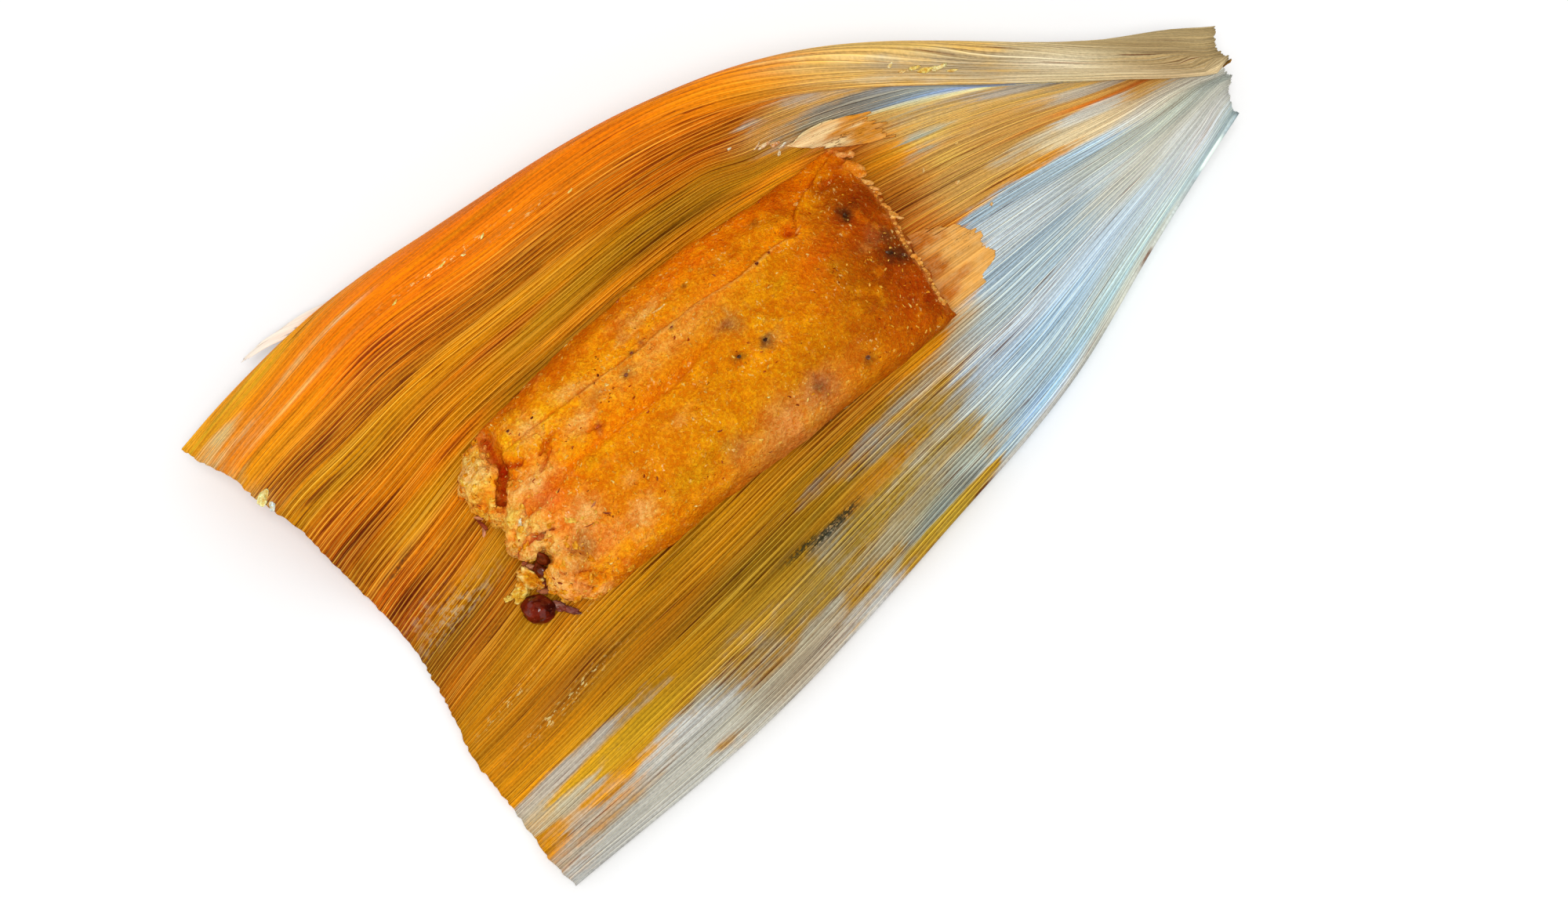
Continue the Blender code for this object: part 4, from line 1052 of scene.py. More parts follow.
def segmentDistance(s, t, start, end):
    # distance from a straight crack, and the share of the way along it
    ds, dt = end[0] - start[0], end[1] - start[1]
    k = np.clip(((s - start[0]) * ds + (t - start[1]) * dt) / (ds * ds + dt * dt), 0, 1)
    return np.hypot(s - start[0] - k * ds, t - start[1] - k * dt), k


def masaNoise(s, t, cell, offset):
    return latticeNoise(s / cell, t / cell, 0 * s, masa["seed"] + offset)


def dented(height, s, t, rows):
    # round holes, stretched along, pressed into a height
    for s0, t0, stretch, radius, depth in rows:
        height = height - depth * bump(np.hypot((s - s0) / stretch, t - t0), radius)
    return height


def masaTop(s, t):
    # height of the top: a flat dome, a slope to each end, the shoulder below the folded layer's edge, grooves
    # left by the wrapper, notches in the folded edge, the flakes and cracks of the broken end, small pits
    height = masa["height"] - masa["dome"] * t**2
    height = height - masa["farSlope"] * ease(60, 114, s) - masa["nearSlope"] * (1 - ease(-8, 30, s))
    wander = 0.5 * layeredNoise(s / 9, 0 * s, 0 * s, masa["seed"] + 1, 3)
    off = fromLine(s, t, "step") - wander * (s < 84)
    drop = masa["stepDrop"] + masa["stepDropFar"] * ease(82, 90, s)
    height = height - drop * ease(-0.25, 0.35, off) * (1 - ease(104, 108, s))
    height = height + masa["stepEdge"] * bump(off + 0.7, 0.7) * (1 - ease(96, 104, s)) * ease(8, 20, s)
    ridge = bump(fromLine(s, t, "shoulderRidge"), 1.6)
    height = height + masa["shoulder"] * ridge * ease(4, 14, s) * (1 - ease(80, 90, s))
    for name, depth, width, rise, toRidge, ridgeWidth, fadeFrom, fadeTo in masaGrooves:
        off = fromLine(s, t, name)
        groove = depth * bump(off, width) - rise * bump(off - toRidge, ridgeWidth)
        height = height - groove * (1 - ease(fadeFrom, fadeTo, s))
    faint = masa["faintLines"] * latticeNoise(s / 30, t / 1.1, 0 * s, masa["seed"] + 2)
    height = height + faint * (1 - ease(70, 90, s)) * ease(0, 12, s)
    height = dented(height, s, t, masaNotches)
    for s0, t0, stretch, radius, rise in masaFlakes:
        away = np.hypot((s - s0) / stretch, t - t0) * (1 + 0.25 * masaNoise(s, t, 1.6, 4))
        height = height + rise * (1 - ease(0.75 * radius, radius, away))
    cut = 0 * height
    for start, end, width, depth in masaCracks:
        away, k = segmentDistance(s, t, start, end)
        wide = width * (1.15 - 0.5 * k) + 0.35 * masaNoise(s, t, 1.2, 3)
        cut = np.maximum(cut, depth * (1 - ease(0.55 * wide, wide + 0.35, away)))
    return dented(height - cut, s, t, masaPits)


# grooves: line, depth, width, then the ridge beside it: rise, distance to the left, width; then the two s
# between which both fade
masaGrooves = [
    ("mainGroove", 1.7, 1.2, 0.4, 2.6, 1.3, 40, 68), ("sideGroove", 1.1, 1.5, 0.3, -2.6, 1.2, 70, 96),
]
# notches in the folded edge: s, t, stretch along, radius, depth
masaNotches = [(83, 11.2, 1.3, 1.2, 2.6), (98.5, 15.5, 3.2, 1, 1.6)]
# cracks: start (s, t), end, width, depth
masaCracks = [
    ((4.6, 20.5), (2.2, 12.6), 1.7, 4), ((2.2, 12.6), (-2.8, 7.4), 1.3, 3.6),
    ((2.2, 12.6), (5.4, 10.2), 0.9, 2.2), ((-6.5, -2.2), (-3, -3.6), 0.5, 2.2),
    ((-3, -3.6), (0.8, -4.9), 0.45, 1.6), ((11.5, 7.6), (7, 5.4), 0.4, 1.2),
    ((19.5, 4.6), (23, 3.6), 0.45, 1), ((12.5, 9.6), (9.4, 8.2), 0.7, 1.4),
    ((14.5, 9.9), (12.5, 9.6), 0.5, 1), ((-4.4, -12.6), (-1.6, -14.8), 0.5, 1.6),
    ((-1.6, -14.8), (0.4, -16.2), 0.4, 1.2), ((-3.4, -15.6), (-1.2, -18.4), 0.5, 1.8),
]
# flat flakes that stand up from the torn end: s, t, stretch along, radius, rise
masaFlakes = [
    (-3.6, 17, 1.2, 3.6, 1.1), (-3.2, 1.6, 1, 2.4, 0.6), (8.6, 17, 1.4, 2.4, 0.5),
    (1.5, -12.5, 1.3, 3, 0.6), (-2.6, -2.4, 1, 1.8, 0.6), (9, 11, 1.5, 2.2, 0.4), (7, 4.5, 1.6, 2.2, 0.4),
]
# small holes: s, t, stretch along, radius, depth
masaPits = [
    (-4.8, -6.6, 1, 0.7, 0.9), (21.5, 4.4, 1, 0.8, 0.8), (60.2, -5.6, 1, 0.5, 0.5), (53.6, -4.8, 1, 0.6, 0.4),
]


def archSpacing(count, half, rise, power):
    # places from -1 to 1 spaced evenly round an arch |place|^power + height^power = 1, and its heights
    place = 1 - (1 - np.linspace(0, 1, 4001))**2.5
    height = (1 - place**power)**(1 / power)
    length = np.concatenate([[0], np.cumsum(np.hypot(np.diff(place) * half, np.diff(height) * rise))])
    wanted = np.linspace(-1, 1, count)
    place = np.sign(wanted) * np.interp(np.abs(wanted) * length[-1], length, place)
    height = (1 - np.abs(place)**power).clip(0)**(1 / power)
    height[[0, -1]] = 0
    return place, height


def huskHeightAt(x, y):
    # height of the husk under a plan place: the share along follows from x, and the sections give z at y
    yLine = np.linspace(*husk["planY"])
    crest = int(husk["crestShare"] * sectionY.shape[1])
    sections = zip(sectionY[:, :crest], sectionZ[:, :crest])
    heights = np.stack([np.interp(yLine, rowY, rowZ) for rowY, rowZ in sections])
    cutX, tipX = husk["planX"]
    along = (x - cutX) / (tipX - cutX)
    return readTable(heights, along, (y - yLine[0]) / (yLine[-1] - yLine[0]))


masaTones = {
    "orange": (236, 134, 8), "yellow": (228, 142, 4), "deep": (212, 100, 0), "red": (186, 62, 0),
    "far": (142, 58, 0), "farDeep": (146, 60, 0), "farGold": (176, 92, 0), "pink": (250, 150, 70),
    "pale": (255, 178, 100), "blush": (255, 196, 116), "peach": (252, 176, 84), "grey": (166, 114, 62),
    "dark": (78, 38, 18), "plum": (146, 82, 58), "green": (200, 140, 10), "crack": (182, 44, 2),
    "tan": (230, 150, 70), "white": (252, 226, 170), "brightOrange": (248, 142, 6), "gold": (250, 158, 12),
}
# soft areas of the top: s, t, reach along, reach across, tone
masaAreas = byTone({
    "orange": [(30, 0, 30, 12), (88, 6, 10, 8), (50, 21, 20, 3), (60, 13, 16, 4), (20, -12, 12, 5),
        (34, -20, 10, 3), (72, -21, 8, 3)],
    "yellow": [(58, 2, 24, 12), (46, -10, 16, 8), (76, -4, 9, 12)],
    "farDeep": [(90, -4, 9, 16)],
    "far": [(101, -6, 6, 12), (99, 8, 6, 6), (100, -20, 6, 6)],
    "farGold": [(93, -8, 8, 10)],
    "deep": [(88, -18, 10, 6), (103, 18, 6, 6), (80, 20, 22, 3.5), (30, 22, 14, 3)],
    "gold": [(36, 14, 14, 4), (10, 15, 8, 4), (-2, 9, 3, 3), (2, -17, 8, 4), (12, 2, 8, 3), (-3, -14, 4, 6)],
    "brightOrange": [(8, 8, 8, 4), (20, 6, 10, 4), (12, -20, 8, 3), (24, 0, 10, 3)],
    "pink": [(3, -10, 6, 6)],
    "pale": [(-4, -3, 4, 5), (-4, 2, 3, 4)],
    "peach": [(-3, 16, 4, 5), (44, 8, 12, 3)],
    "tan": [(54, -21, 12, 3)],
})
# spots: s, t, radius, stretch along, tone, strength
masaSpots = [
    (96.2, 7, 2.2, 1.3, "dark", 0.92), (95, 5.2, 1.2, 1, "dark", 0.8), (97.6, -1, 2, 1.3, "plum", 0.22),
    (97, -6.6, 2.1, 1.4, "dark", 0.85), (98.2, -8.4, 1.3, 1, "dark", 0.7),
    (98.8, -2.8, 1.8, 1, "dark", 0.65), (93.6, -2.6, 1.4, 1.4, "grey", 0.4),
    (57.4, 2.1, 2.8, 1.1, "grey", 0.55), (56.6, 2.6, 1, 1, "plum", 0.5), (53.6, -4.8, 1.2, 1, "dark", 0.7),
    (60, -6.1, 1.2, 1.2, "dark", 0.9), (61.4, -6.4, 1.8, 1.3, "grey", 0.5),
    (63, -20.7, 2.4, 1.2, "plum", 0.6), (62.2, -20.4, 1, 1.2, "dark", 0.4),
    (39.9, -18.8, 2.4, 1.3, "plum", 0.45), (34.2, 8.7, 1.8, 1.5, "grey", 0.6),
    (33.6, 8.2, 0.6, 1.2, "dark", 0.6), (2.4, -12.6, 2.6, 1.1, "grey", 0.75),
    (75.1, -22.4, 1.2, 1.3, "dark", 0.5), (71.3, 8.4, 0.6, 1, "dark", 0.8),
    (-3.2, 0.7, 1.1, 1, "white", 0.95), (52.6, -22, 2.2, 1.5, "pink", 0.5),
    (44, 18.2, 2.2, 2.4, "grey", 0.35), (21.4, 3.9, 1, 1.2, "red", 0.8),
    (-3.4, 17, 3.2, 1.2, "blush", 0.95), (-4.5, -6.6, 0.7, 1, "dark", 0.7), (3, 0.5, 2, 1.4, "pink", 0.6),
    (26, 9.5, 1.4, 2.2, "grey", 0.4), (-6.8, -5.2, 1, 1, "plum", 0.8), (100.5, -15, 3, 1.2, "red", 0.45),
    (90, 19, 6, 1.6, "red", 0.3), (83.5, 11.2, 1.2, 1.2, "red", 0.9), (48, 9.6, 0.7, 1.2, "dark", 0.6),
    (15.5, -0.5, 1.6, 2, "green", 0.4), (30, -17, 3, 3, "green", 0.5), (98.8, 15.5, 1.3, 2, "red", 0.6),
    (12, 21, 1, 1.5, "dark", 0.3), (47, 17, 0.9, 5.5, "peach", 0.7), (42, 15.6, 0.7, 4, "peach", 0.5),
    (38.5, 11.9, 0.8, 1.2, "dark", 0.6), (41.5, 12.4, 0.8, 1.2, "plum", 0.6),
    (11, 13.5, 2, 1.4, "pink", 0.6), (6, 5.5, 2.6, 1.5, "peach", 0.6), (27, 12.5, 1.6, 2.2, "peach", 0.4),
    (70, 14.2, 1.2, 1.6, "red", 0.4), (-1, -9, 1.6, 1.4, "pale", 0.7), (8, -15, 2, 1.6, "pink", 0.5),
    (35, -7, 1.4, 1.6, "peach", 0.3), (72, 2, 1.4, 1.4, "green", 0.5), (84, -2, 2, 1.4, "green", 0.4),
    (-5.8, -13, 1.6, 1, "pale", 0.7), (11.5, 15.2, 2.4, 1.2, "blush", 0.5),
    (19.5, 7.4, 2.2, 1.4, "blush", 0.45), (3.8, 4.6, 2.2, 1.3, "blush", 0.5),
    (-2.6, -4.5, 1.8, 1.2, "blush", 0.6), (16.2, -15.6, 2.4, 1.4, "blush", 0.45),
    (7.2, -7.8, 2.4, 1.4, "blush", 0.5), (-4.4, 19.6, 2.6, 1.2, "blush", 0.8),
    (22.7, 15.4, 1.6, 1.8, "blush", 0.3), (19, -9, 1.2, 1.6, "peach", 0.4),
    (79, 17.6, 0.8, 1.6, "dark", 0.5), (57, 15.8, 0.5, 1.4, "dark", 0.6),
]
# where the masa is darker or paler than its tones, partly its own colour and partly painted light that lifts
# the broken end, the left side and the main groove where the lamp leaves them darker: s, t, reach along,
# reach across, then the multipliers of red, green and blue
masaTintsAndShading = [
    (0, 16, 7, 6, 1.4, 1.45, 1.1), (-4, 21, 3, 3, 1.2, 1.4, 1.3), (-4, 0, 4, 7, 1.45, 1.4, 1.1),
    (6, 12, 6, 3, 1.15, 1.2, 1), (5, 0, 3, 3, 1, 0.74, 1), (16, 4, 7, 4, 1.2, 1.22, 1),
    (14, 14, 6, 4, 1.2, 1.3, 1), (34, 0.4, 18, 2.4, 1.22, 1.3, 1), (30, 6, 14, 3, 1.15, 1.18, 1),
    (36, 13, 14, 5, 1.12, 1.12, 1), (64, 10.5, 8, 3, 1.28, 1.12, 1), (64, 20, 10, 3, 1.25, 1.08, 1),
    (64, -17, 9, 5, 0.82, 0.74, 0.9), (78, -16, 8, 7, 0.86, 0.74, 0.8), (80, 0, 8, 6, 1.06, 0.76, 0.8),
    (80, 10.5, 5, 2.2, 1.5, 1.45, 1), (80, 20, 8, 3.5, 1.45, 1.45, 1), (91, 15.5, 4, 3, 1.45, 1.6, 1),
    (95, 20, 5, 3, 1.4, 1.6, 1), (94, -8, 6, 12, 0.94, 0.64, 0.6), (96, 4, 6, 6, 0.95, 0.64, 0.6),
    (102, 8, 4, 5, 0.88, 0.62, 0.6), (102, -8, 3, 4, 0.76, 0.64, 0.6), (98, -19, 4, 4, 1, 0.74, 0.8),
    (52, -20, 8, 3, 0.9, 0.88, 1), (54, -10, 6, 4, 1, 0.95, 1), (48, 20, 14, 4, 1.08, 1, 1),
    (-4, 19, 4, 4, 1.5, 1.5, 2), (4, -4, 10, 20, 1.02, 0.94, 0.8), (46, 2, 16, 12, 1, 0.93, 1),
    (4, 0, 3, 4, 1, 0.72, 1), (12, 1, 4, 3, 1, 0.84, 1), (84, 2, 5, 5, 1, 0.78, 1),
    (84, 11, 4, 3, 1.3, 1.35, 1), (92, 16, 3, 3, 1.25, 1.5, 1), (100, 20, 4, 3, 1.3, 1.8, 1),
    (-7, 10, 3, 4, 1.3, 1.25, 0.9), (-3, -11, 4, 4, 1.15, 1.25, 1.3), (-3, -17, 2.5, 2.5, 0.9, 0.72, 0.6),
    (-4, 3, 2.5, 3, 1.14, 1.12, 1), (14, -6, 8, 6, 0.98, 0.96, 0.6), (0, -7, 3, 3, 1.06, 1.12, 1),
    (0, 15, 2.5, 2.5, 1, 0.72, 0.9), (3, -2, 3, 3, 0.96, 0.96, 0.4), (-4, 11, 3, 2, 1, 0.78, 0.6),
    (76, -20, 6, 3, 0.86, 0.84, 1), (76, -8, 6, 4, 1, 0.82, 1), (98, -9, 4, 3, 0.85, 0.7, 1),
    (92, -18, 4, 3, 0.92, 0.76, 1), (62, -7, 9, 3, 1.14, 1.1, 1), (60, 20, 8, 3, 1.1, 1.15, 1),
    (97, 1, 3, 5, 1.12, 1.16, 1), (102, 17, 2.5, 2.2, 0.92, 0.78, 0.9),
    (101, -9, 2.4, 2.4, 0.96, 0.84, 0.6), (94, -17, 3, 3, 0.96, 0.92, 0.8),
]


def masaPaint(s, t, topZ, fullZ, crumb):
    # areas blend by nearness, clouds of gold, deep and pink over them, torn crumbs go pale on top as painted
    # highlight and deep between as painted shade, tints that are partly painted light, then spots with ragged
    # edges, cracks go red and the main groove deep as painted shade, and the folded layer has a painted
    # highlight on its edge with a painted shadow line along it
    def noise(cell, across, offset, layers):
        return layeredNoise(s / cell, t / across, topZ / cell, masa["seed"] + offset, layers)

    def over(tone, share):
        return blend(colour, tones[tone], share)

    tones = {name: paint(*tone) for name, tone in masaTones.items()}
    ragged = 1 + 0.45 * layeredNoise(s / 1.4, t / 1.4, topZ / 3, masa["seed"] + 11, 3)
    wide = 2.0 * noise(5, 5, 14, 3)
    areaTones = [tones[row[4]] for row in masaAreas]
    colour = byNearness(s + wide, t + wide, masaAreas, areaTones, tones["orange"], 1e-4)
    cloud = noise(3.5, 3.0, 15, 4)
    colour = over("gold", 0.40 * ease(0.1, 0.9, cloud))
    colour = over("deep", 0.36 * ease(-0.1, -0.9, cloud))
    colour = over("pink", ease(0.25, 0.8, noise(2.2, 1.8, 19, 3)) * (0.06 + 0.30 * ease(30, 2, s)))
    side = ease(0.80, 0.35, (topZ - masa["floor"]) / np.maximum(fullZ - masa["floor"], 1))
    colour = over("deep", 0.45 * side * (1 - ease(6, -2, s)))
    # painted highlight on the tops of the torn crumbs and painted shade between them
    colour = over("pale", 0.75 * ease(0.05, 0.6, crumb))
    colour = over("deep", 0.5 * ease(-0.15, -0.8, crumb))
    # tints: partly the masa's own colour, partly painted light
    for row in masaTintsAndShading:
        colour = colour * tintOf(s, t, row)
    for s0, t0, radius, stretch, tone, strength in masaSpots:
        away = np.hypot((s - s0) / stretch, t - t0) * ragged / radius
        colour = over(tone, strength * np.exp(-away**2.2))
    # painted shade: the cracks go red inside
    for start, end, width, depth in masaCracks:
        away = segmentDistance(s, t, start, end)[0]
        colour = over("crack", 0.9 * min(1, depth / 2) * bump(away, width * 0.9))
    # painted shade in the main groove
    colour = over("deep", 0.45 * bump(fromLine(s, t, "mainGroove"), 0.8) * (1 - ease(40, 66, s)))
    lip = through(masaLines["farEnd"], t) - s
    colour = over("tan", 0.6 * ease(1.8, 0.6, lip) * ease(4.5, 2.5, fullZ - topZ))
    off = fromLine(s, t, "step")
    # painted shadow line at the foot of the folded layer's edge, and a painted highlight on the edge itself
    colour = over("red", 0.40 * bump(off - 0.4, 0.35) * ease(4, 12, s))
    colour = over("peach", 0.60 * bump(off + 0.35, 0.30) * ease(20, 30, s) * (1 - ease(80, 84, s)))
    return np.clip(colour, 0, 1)


def makeMasa(material):
    # an arch in both directions between the outline's four sides: the top grid from its widest line over the
    # top, the low grid from there under to the flat base; grain and crumb push both along their normals
    longPlace, longRound = archSpacing(masa["rows"], *masa["arches"][0], masa["power"])
    crossPlace, crossRound = archSpacing(masa["columns"], *masa["arches"][1], masa["power"])
    share, toLeft = (longPlace[:, None] + 1) / 2, (1 + crossPlace[None, :]) / 2
    t = masa["sides"][0] * (1 - toLeft) + masa["sides"][1] * toLeft + 0 * share
    seed, start, end = masa["seed"], through(masaLines["brokenEnd"], t), through(masaLines["farEnd"], t)
    start = start + masa["ragged"] * layeredNoise(t / 2.2, 0 * t, 0 * t, seed + 20, 3)
    end = end + masa["ragged"] * layeredNoise(t / 1.5, 0 * t, 0 * t, seed + 23, 3)
    s = start + share * (end - start)
    t = (1 - toLeft) * through(masaLines["rightSide"], s) + toLeft * through(masaLines["leftSide"], s)
    rounding = longRound[:, None] * crossRound[None, :]
    x, y = masaPlan(s, t)
    base = huskHeightAt(x, y) + masa["floor"]
    full = masa["floor"] + masaTop(s, t)
    rim = base + masa["rimShare"] * (full - base)
    top = np.stack([x, y, rim + (full - rim) * rounding], axis=-1)
    low = np.stack([x, y, rim + (base - rim) * rounding], axis=-1)

    # torn at both ends and less so near the broken one, but not on the smooth flake beside the deep crack
    torn = np.clip(ease(7, -4, s) + 0.30 * ease(97, 106, s) + 0.16 * ease(26, 6, s), 0, 1)
    flakeS, flakeT, radius, smooth = masa["smoothFlake"]
    torn = torn * (1 - smooth * bump(np.hypot(s - flakeS, t - flakeT), radius))
    crumbs = []
    for sheet, sign in ((top, 1), (low, -1)):
        px, py, pz = np.moveaxis(sheet, -1, 0)
        push = masa["lumps"] * layeredNoise(px / 9, py / 7, pz / 9, seed, 2)
        push += masa["grain"] * layeredNoise(px / 1.5, py / 1.5, pz / 1.5, seed + 3, 3)
        chew = layeredNoise(px / 3.4, py / 3.4, pz / 3.4, seed + 7, 3)
        curd = np.abs(layeredNoise(px / 1.9, py / 1.9, pz / 1.9, seed + 12, 2))
        push += torn * (masa["crumb"] * (chew - 0.35 * np.abs(chew)) - masa["curd"] * (curd - 0.3))
        crumbs.append(torn * (chew - 1.2 * curd + 0.35))
        sheet += gridNormals(sheet) * sign * push[..., None]
    low[..., 2] = np.maximum(low[..., 2], base)
    colour = masaPaint(s, t, top[..., 2], full, crumbs[0])
    lowColour = masaPaint(s, t, low[..., 2], full, crumbs[1])
    under = (slice(None, None, masa["underEvery"]),) * 2
    topIds = gridIds(top)
    faces = shellFaces(topIds, gridIds(low[under], topIds.size))
    piece = makeMesh("masaSlab", stacked(top, low[under]), faces, None,
                     {"masaColour": stacked(colour, lowColour[under])})
    finishPiece(piece, material, "masa")
    return s, t, top


def masaMaterial():
    # painted tone deepened or paled by the cornmeal shade, with flecks, grains and small wet glints, painted
    # into the colour as highlights and given a coat
    material, t, shader = newMaterial("steamedMasa", Specular_IOR_Level=0.02, Subsurface_Weight=0.10,
                                      Subsurface_Radius=(0.002, 0.0008, 0.0002), Subsurface_Scale=0.5,
                                      Coat_Roughness=0.18)
    where, colour = t.objectPlace(), t.attribute("masaColour")
    grain = t.group(cornGrain, Vector=where, Cloud=masa["cloud"], Fleck=masa["fleck"],
                    Grain=masa["paleGrain"])
    deeper, paler = t.tinted(colour, masa["deeper"]), t.tinted(colour, masa["paler"])
    toned = t.mix(t.minus(grain["Shade"], 0.5, True), deeper, paler)
    flecked = t.mix(grain["Fleck"], toned, opaque(*masa["fleckTone"]))
    lit = t.tinted(t.tinted(toned, masa["grainScale"]), masa["grainAdd"], "ADD")
    grained = t.mix(grain["Grain"], flecked, lit)
    # painted highlight: wet glints mixed into the colour
    wetGlints = t.mix(t.times(grain["Glint"], masa["glint"]), grained, opaque(*masa["glintTone"]))
    rough = t.plus(masa["rough"], t.times(t.noise(where, 700.0, 3.0, 0.7), masa["roughSwing"]))
    relief = t.relief(grain["Height"], masa["relief"], masa["reliefDepth"])
    t.drive(shader, Base_Color=wetGlints, Coat_Weight=grain["Glint"], Roughness=rough, Normal=relief)
    return material


masaStuff = masaMaterial()
masaS, masaT, masaGrid = makeMasa(masaStuff)
masaUps = gridNormals(masaGrid)
print("masa made")


def onMasa(s, t):
    # places and upward directions of the finished top nearest to each (s, t)
    s, t = np.atleast_1d(s), np.atleast_1d(t)
    near = [int(np.argmin((masaS - s0)**2 + (masaT - t0)**2)) for s0, t0 in zip(s, t)]
    return masaGrid.reshape(-1, 3)[near], masaUps.reshape(-1, 3)[near]


# the pieces at the broken end: bean, shreds of its skin, the loose crumb

def beanMaterial():
    # painted tone, changed in patches by one noise and flecked with painted highlights by a finer one; glossy
    # skin whose coat is patchy; fine wrinkles
    material, t, shader = newMaterial("cookedBean", Specular_IOR_Level=0.06, Coat_Roughness=0.06)
    where = t.objectPlace()
    patches = t.ramp(t.noise(where, 420.0, 3.0, 0.6), 0.42, 0.62)
    fine = t.noise(where, 1900.0, 3.0, 0.6)
    tone = t.mix(t.times(patches, bean["patch"]), t.attribute("skinColour"), opaque(*bean["patchTone"]))
    # painted highlights: fine bright specks on the skin
    tone = t.mix(t.times(t.ramp(fine, 0.60, 0.72), bean["fineHighlight"]), tone, opaque(*bean["fineHighlightTone"]))
    height = t.plus(t.noise(where, 900.0, 4.0, 0.7, (1.0, 1.6, 1.0)), t.times(patches, 0.6))
    t.drive(shader, Base_Color=tone, Coat_Weight=t.ramp(t.noise(where, 500.0, 2.0), 0.50, 0.58),
            Roughness=t.plus(0.25, t.times(fine, 0.4)), Normal=t.relief(height, bean["wrinkle"], 0.0004))
    return material


# in each table of rows here: offset from the CAD node's middle, size, turn, tone

bean = {
    "grid": 33, "rough": 0.09, "wave": 1.6, "taper": 0.12, "bend": 0.05, "seed": 81, "shade": 0.5,
    "light": paint(150, 58, 28), "lightShare": 0.3, "attribute": "skinColour",
    # its material: how strongly patches and fine painted highlights show and their colours, and the wrinkles'
    # strength
    "patch": 0.5, "patchTone": (140, 36, 6), "fineHighlight": 0.4, "fineHighlightTone": (170, 96, 66), "wrinkle": 0.8,
    "rows": [((0, 0, 0.1), (7.4, 6.4, 5.6), -43, (74, 12, 2))],
}
shred = {
    "grid": 17, "rough": 0.28, "wave": 1.8, "taper": 0.55, "bend": 0.08, "seed": 83, "shade": 0.5,
    "light": paint(176, 150, 140), "lightShare": 0.5, "attribute": "skinColour",
    "rows": [
        ((-0.9, 1.2, 0.5), (3.2, 2.6, 1.8), -60, (118, 66, 52)),
        ((0.2, -0.2, 0.2), (3.4, 2, 1.6), -50, (126, 88, 82)),
        ((0.8, -1, -0.3), (3, 1.5, 1), -52, (96, 58, 48)),
        ((-1.6, 2.4, 1.2), (2.2, 1.8, 1.2), -20, (140, 84, 60)),
    ],
}
crumb = {
    "grid": 29, "rough": 0.42, "wave": 1.9, "taper": 0.15, "bend": 0.05, "seed": 85, "shade": 0.35,
    "light": paint(255, 226, 140), "lightShare": 0.75, "attribute": "masaColour",
    "rows": [
        ((3.1, -0.6, 1.7), (5.4, 3.4, 4.6), -62, (238, 150, 24)),
        ((0.1, -1.6, -0.3), (4.4, 3, 2.6), 12, (244, 186, 62)),
        ((-2.4, -0.8, -0.9), (2.4, 1.3, 1.2), -6, (250, 208, 98)),
        ((1.4, -0.4, 0.6), (3, 2.6, 2.4), 20, (240, 160, 34)),
        ((4.2, -2.9, 0.4), (2.8, 2.2, 2.6), -50, (236, 140, 20)),
    ],
}


def makeEndPiece(name, node, look, up, material):
    low, high = (np.array(corner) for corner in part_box(node))
    middle = ((low + high) / 2 - toFrameShift) / mm
    makeRowLumps(name, middle + column(look["rows"], 0), up, look, material, node)


# bits of bean skin in the broken end

darkBits = {
    "grid": 15, "rough": 0.25, "wave": 1.6, "taper": 0.2, "bend": 0.05, "seed": 87, "shade": 0.5,
    "light": paint(150, 70, 36), "lightShare": 0.2, "attribute": "skinColour",
    # s, t, height above the husk, size, turn, tone
    "rows": [
        (-5.6, -7.8, 5.6, (4.6, 3, 5), -60, (84, 26, 2)), (-4.2, -6.6, 8.5, (2.4, 3.4, 4), 20, (96, 36, 4)),
        (-7, -3.9, 6.4, (1.3, 1.2, 1.2), 0, (160, 84, 52)),
        (-6.6, -5.6, 6.6, (2.4, 1.3, 1.2), -40, (178, 120, 84)),
        (-6.4, -9.8, 3, (3.4, 2.4, 3), -50, (110, 42, 6)),
        (-7.6, -10.4, 3.2, (2.8, 1.6, 1.4), -30, (164, 100, 64)),
        (-6.9, 10, 1.8, (3.4, 0.9, 0.8), 100, (150, 70, 40)),
        (-7.6, 8.8, 1.4, (2.2, 0.8, 0.7), 60, (216, 150, 110)),
        (-6.6, 11.4, 2.6, (2, 0.7, 0.6), 130, (220, 150, 104)),
    ],
}


def makeDarkBits(skin):
    x, y = masaPlan(column(darkBits["rows"], 0), column(darkBits["rows"], 1))
    z = huskHeightAt(x, y) + masa["floor"] + column(darkBits["rows"], 2)
    makeRowLumps("darkBits", np.stack([x, y, z], axis=-1), (0, 0, 1), darkBits, skin)


# what is scattered on the masa: flecks all over it, crumbs on its broken end, teeth on its far lip

masaFlecks = {
    "grid": 5, "rough": 0.35, "wave": 1.3, "taper": 0.3, "bend": 0.10, "seed": 91, "shade": 0.2,
    "light": paint(255, 224, 150), "lightShare": 0.2, "attribute": "masaColour", "count": 900,
    "tones": [(250, 176, 70), (246, 164, 46), (240, 148, 30), (255, 200, 110), (140, 44, 8), (180, 62, 2)],
    "shares": [0.28, 0.28, 0.22, 0.10, 0.05, 0.07],
}
endCrumbs = {
    "grid": 9, "rough": 0.45, "wave": 1.6, "taper": 0.1, "bend": 0.0, "seed": 93, "shade": 0.3,
    "light": paint(255, 214, 104), "lightShare": 0.4, "attribute": "masaColour", "count": 130,
    "reach": 0.12,                              # share of the slab's length that they lie on
    "tones": [(242, 160, 34), (236, 142, 16), (246, 178, 70), (228, 120, 6), (238, 154, 72)],
    "shares": [0.3, 0.3, 0.15, 0.15, 0.1],
}
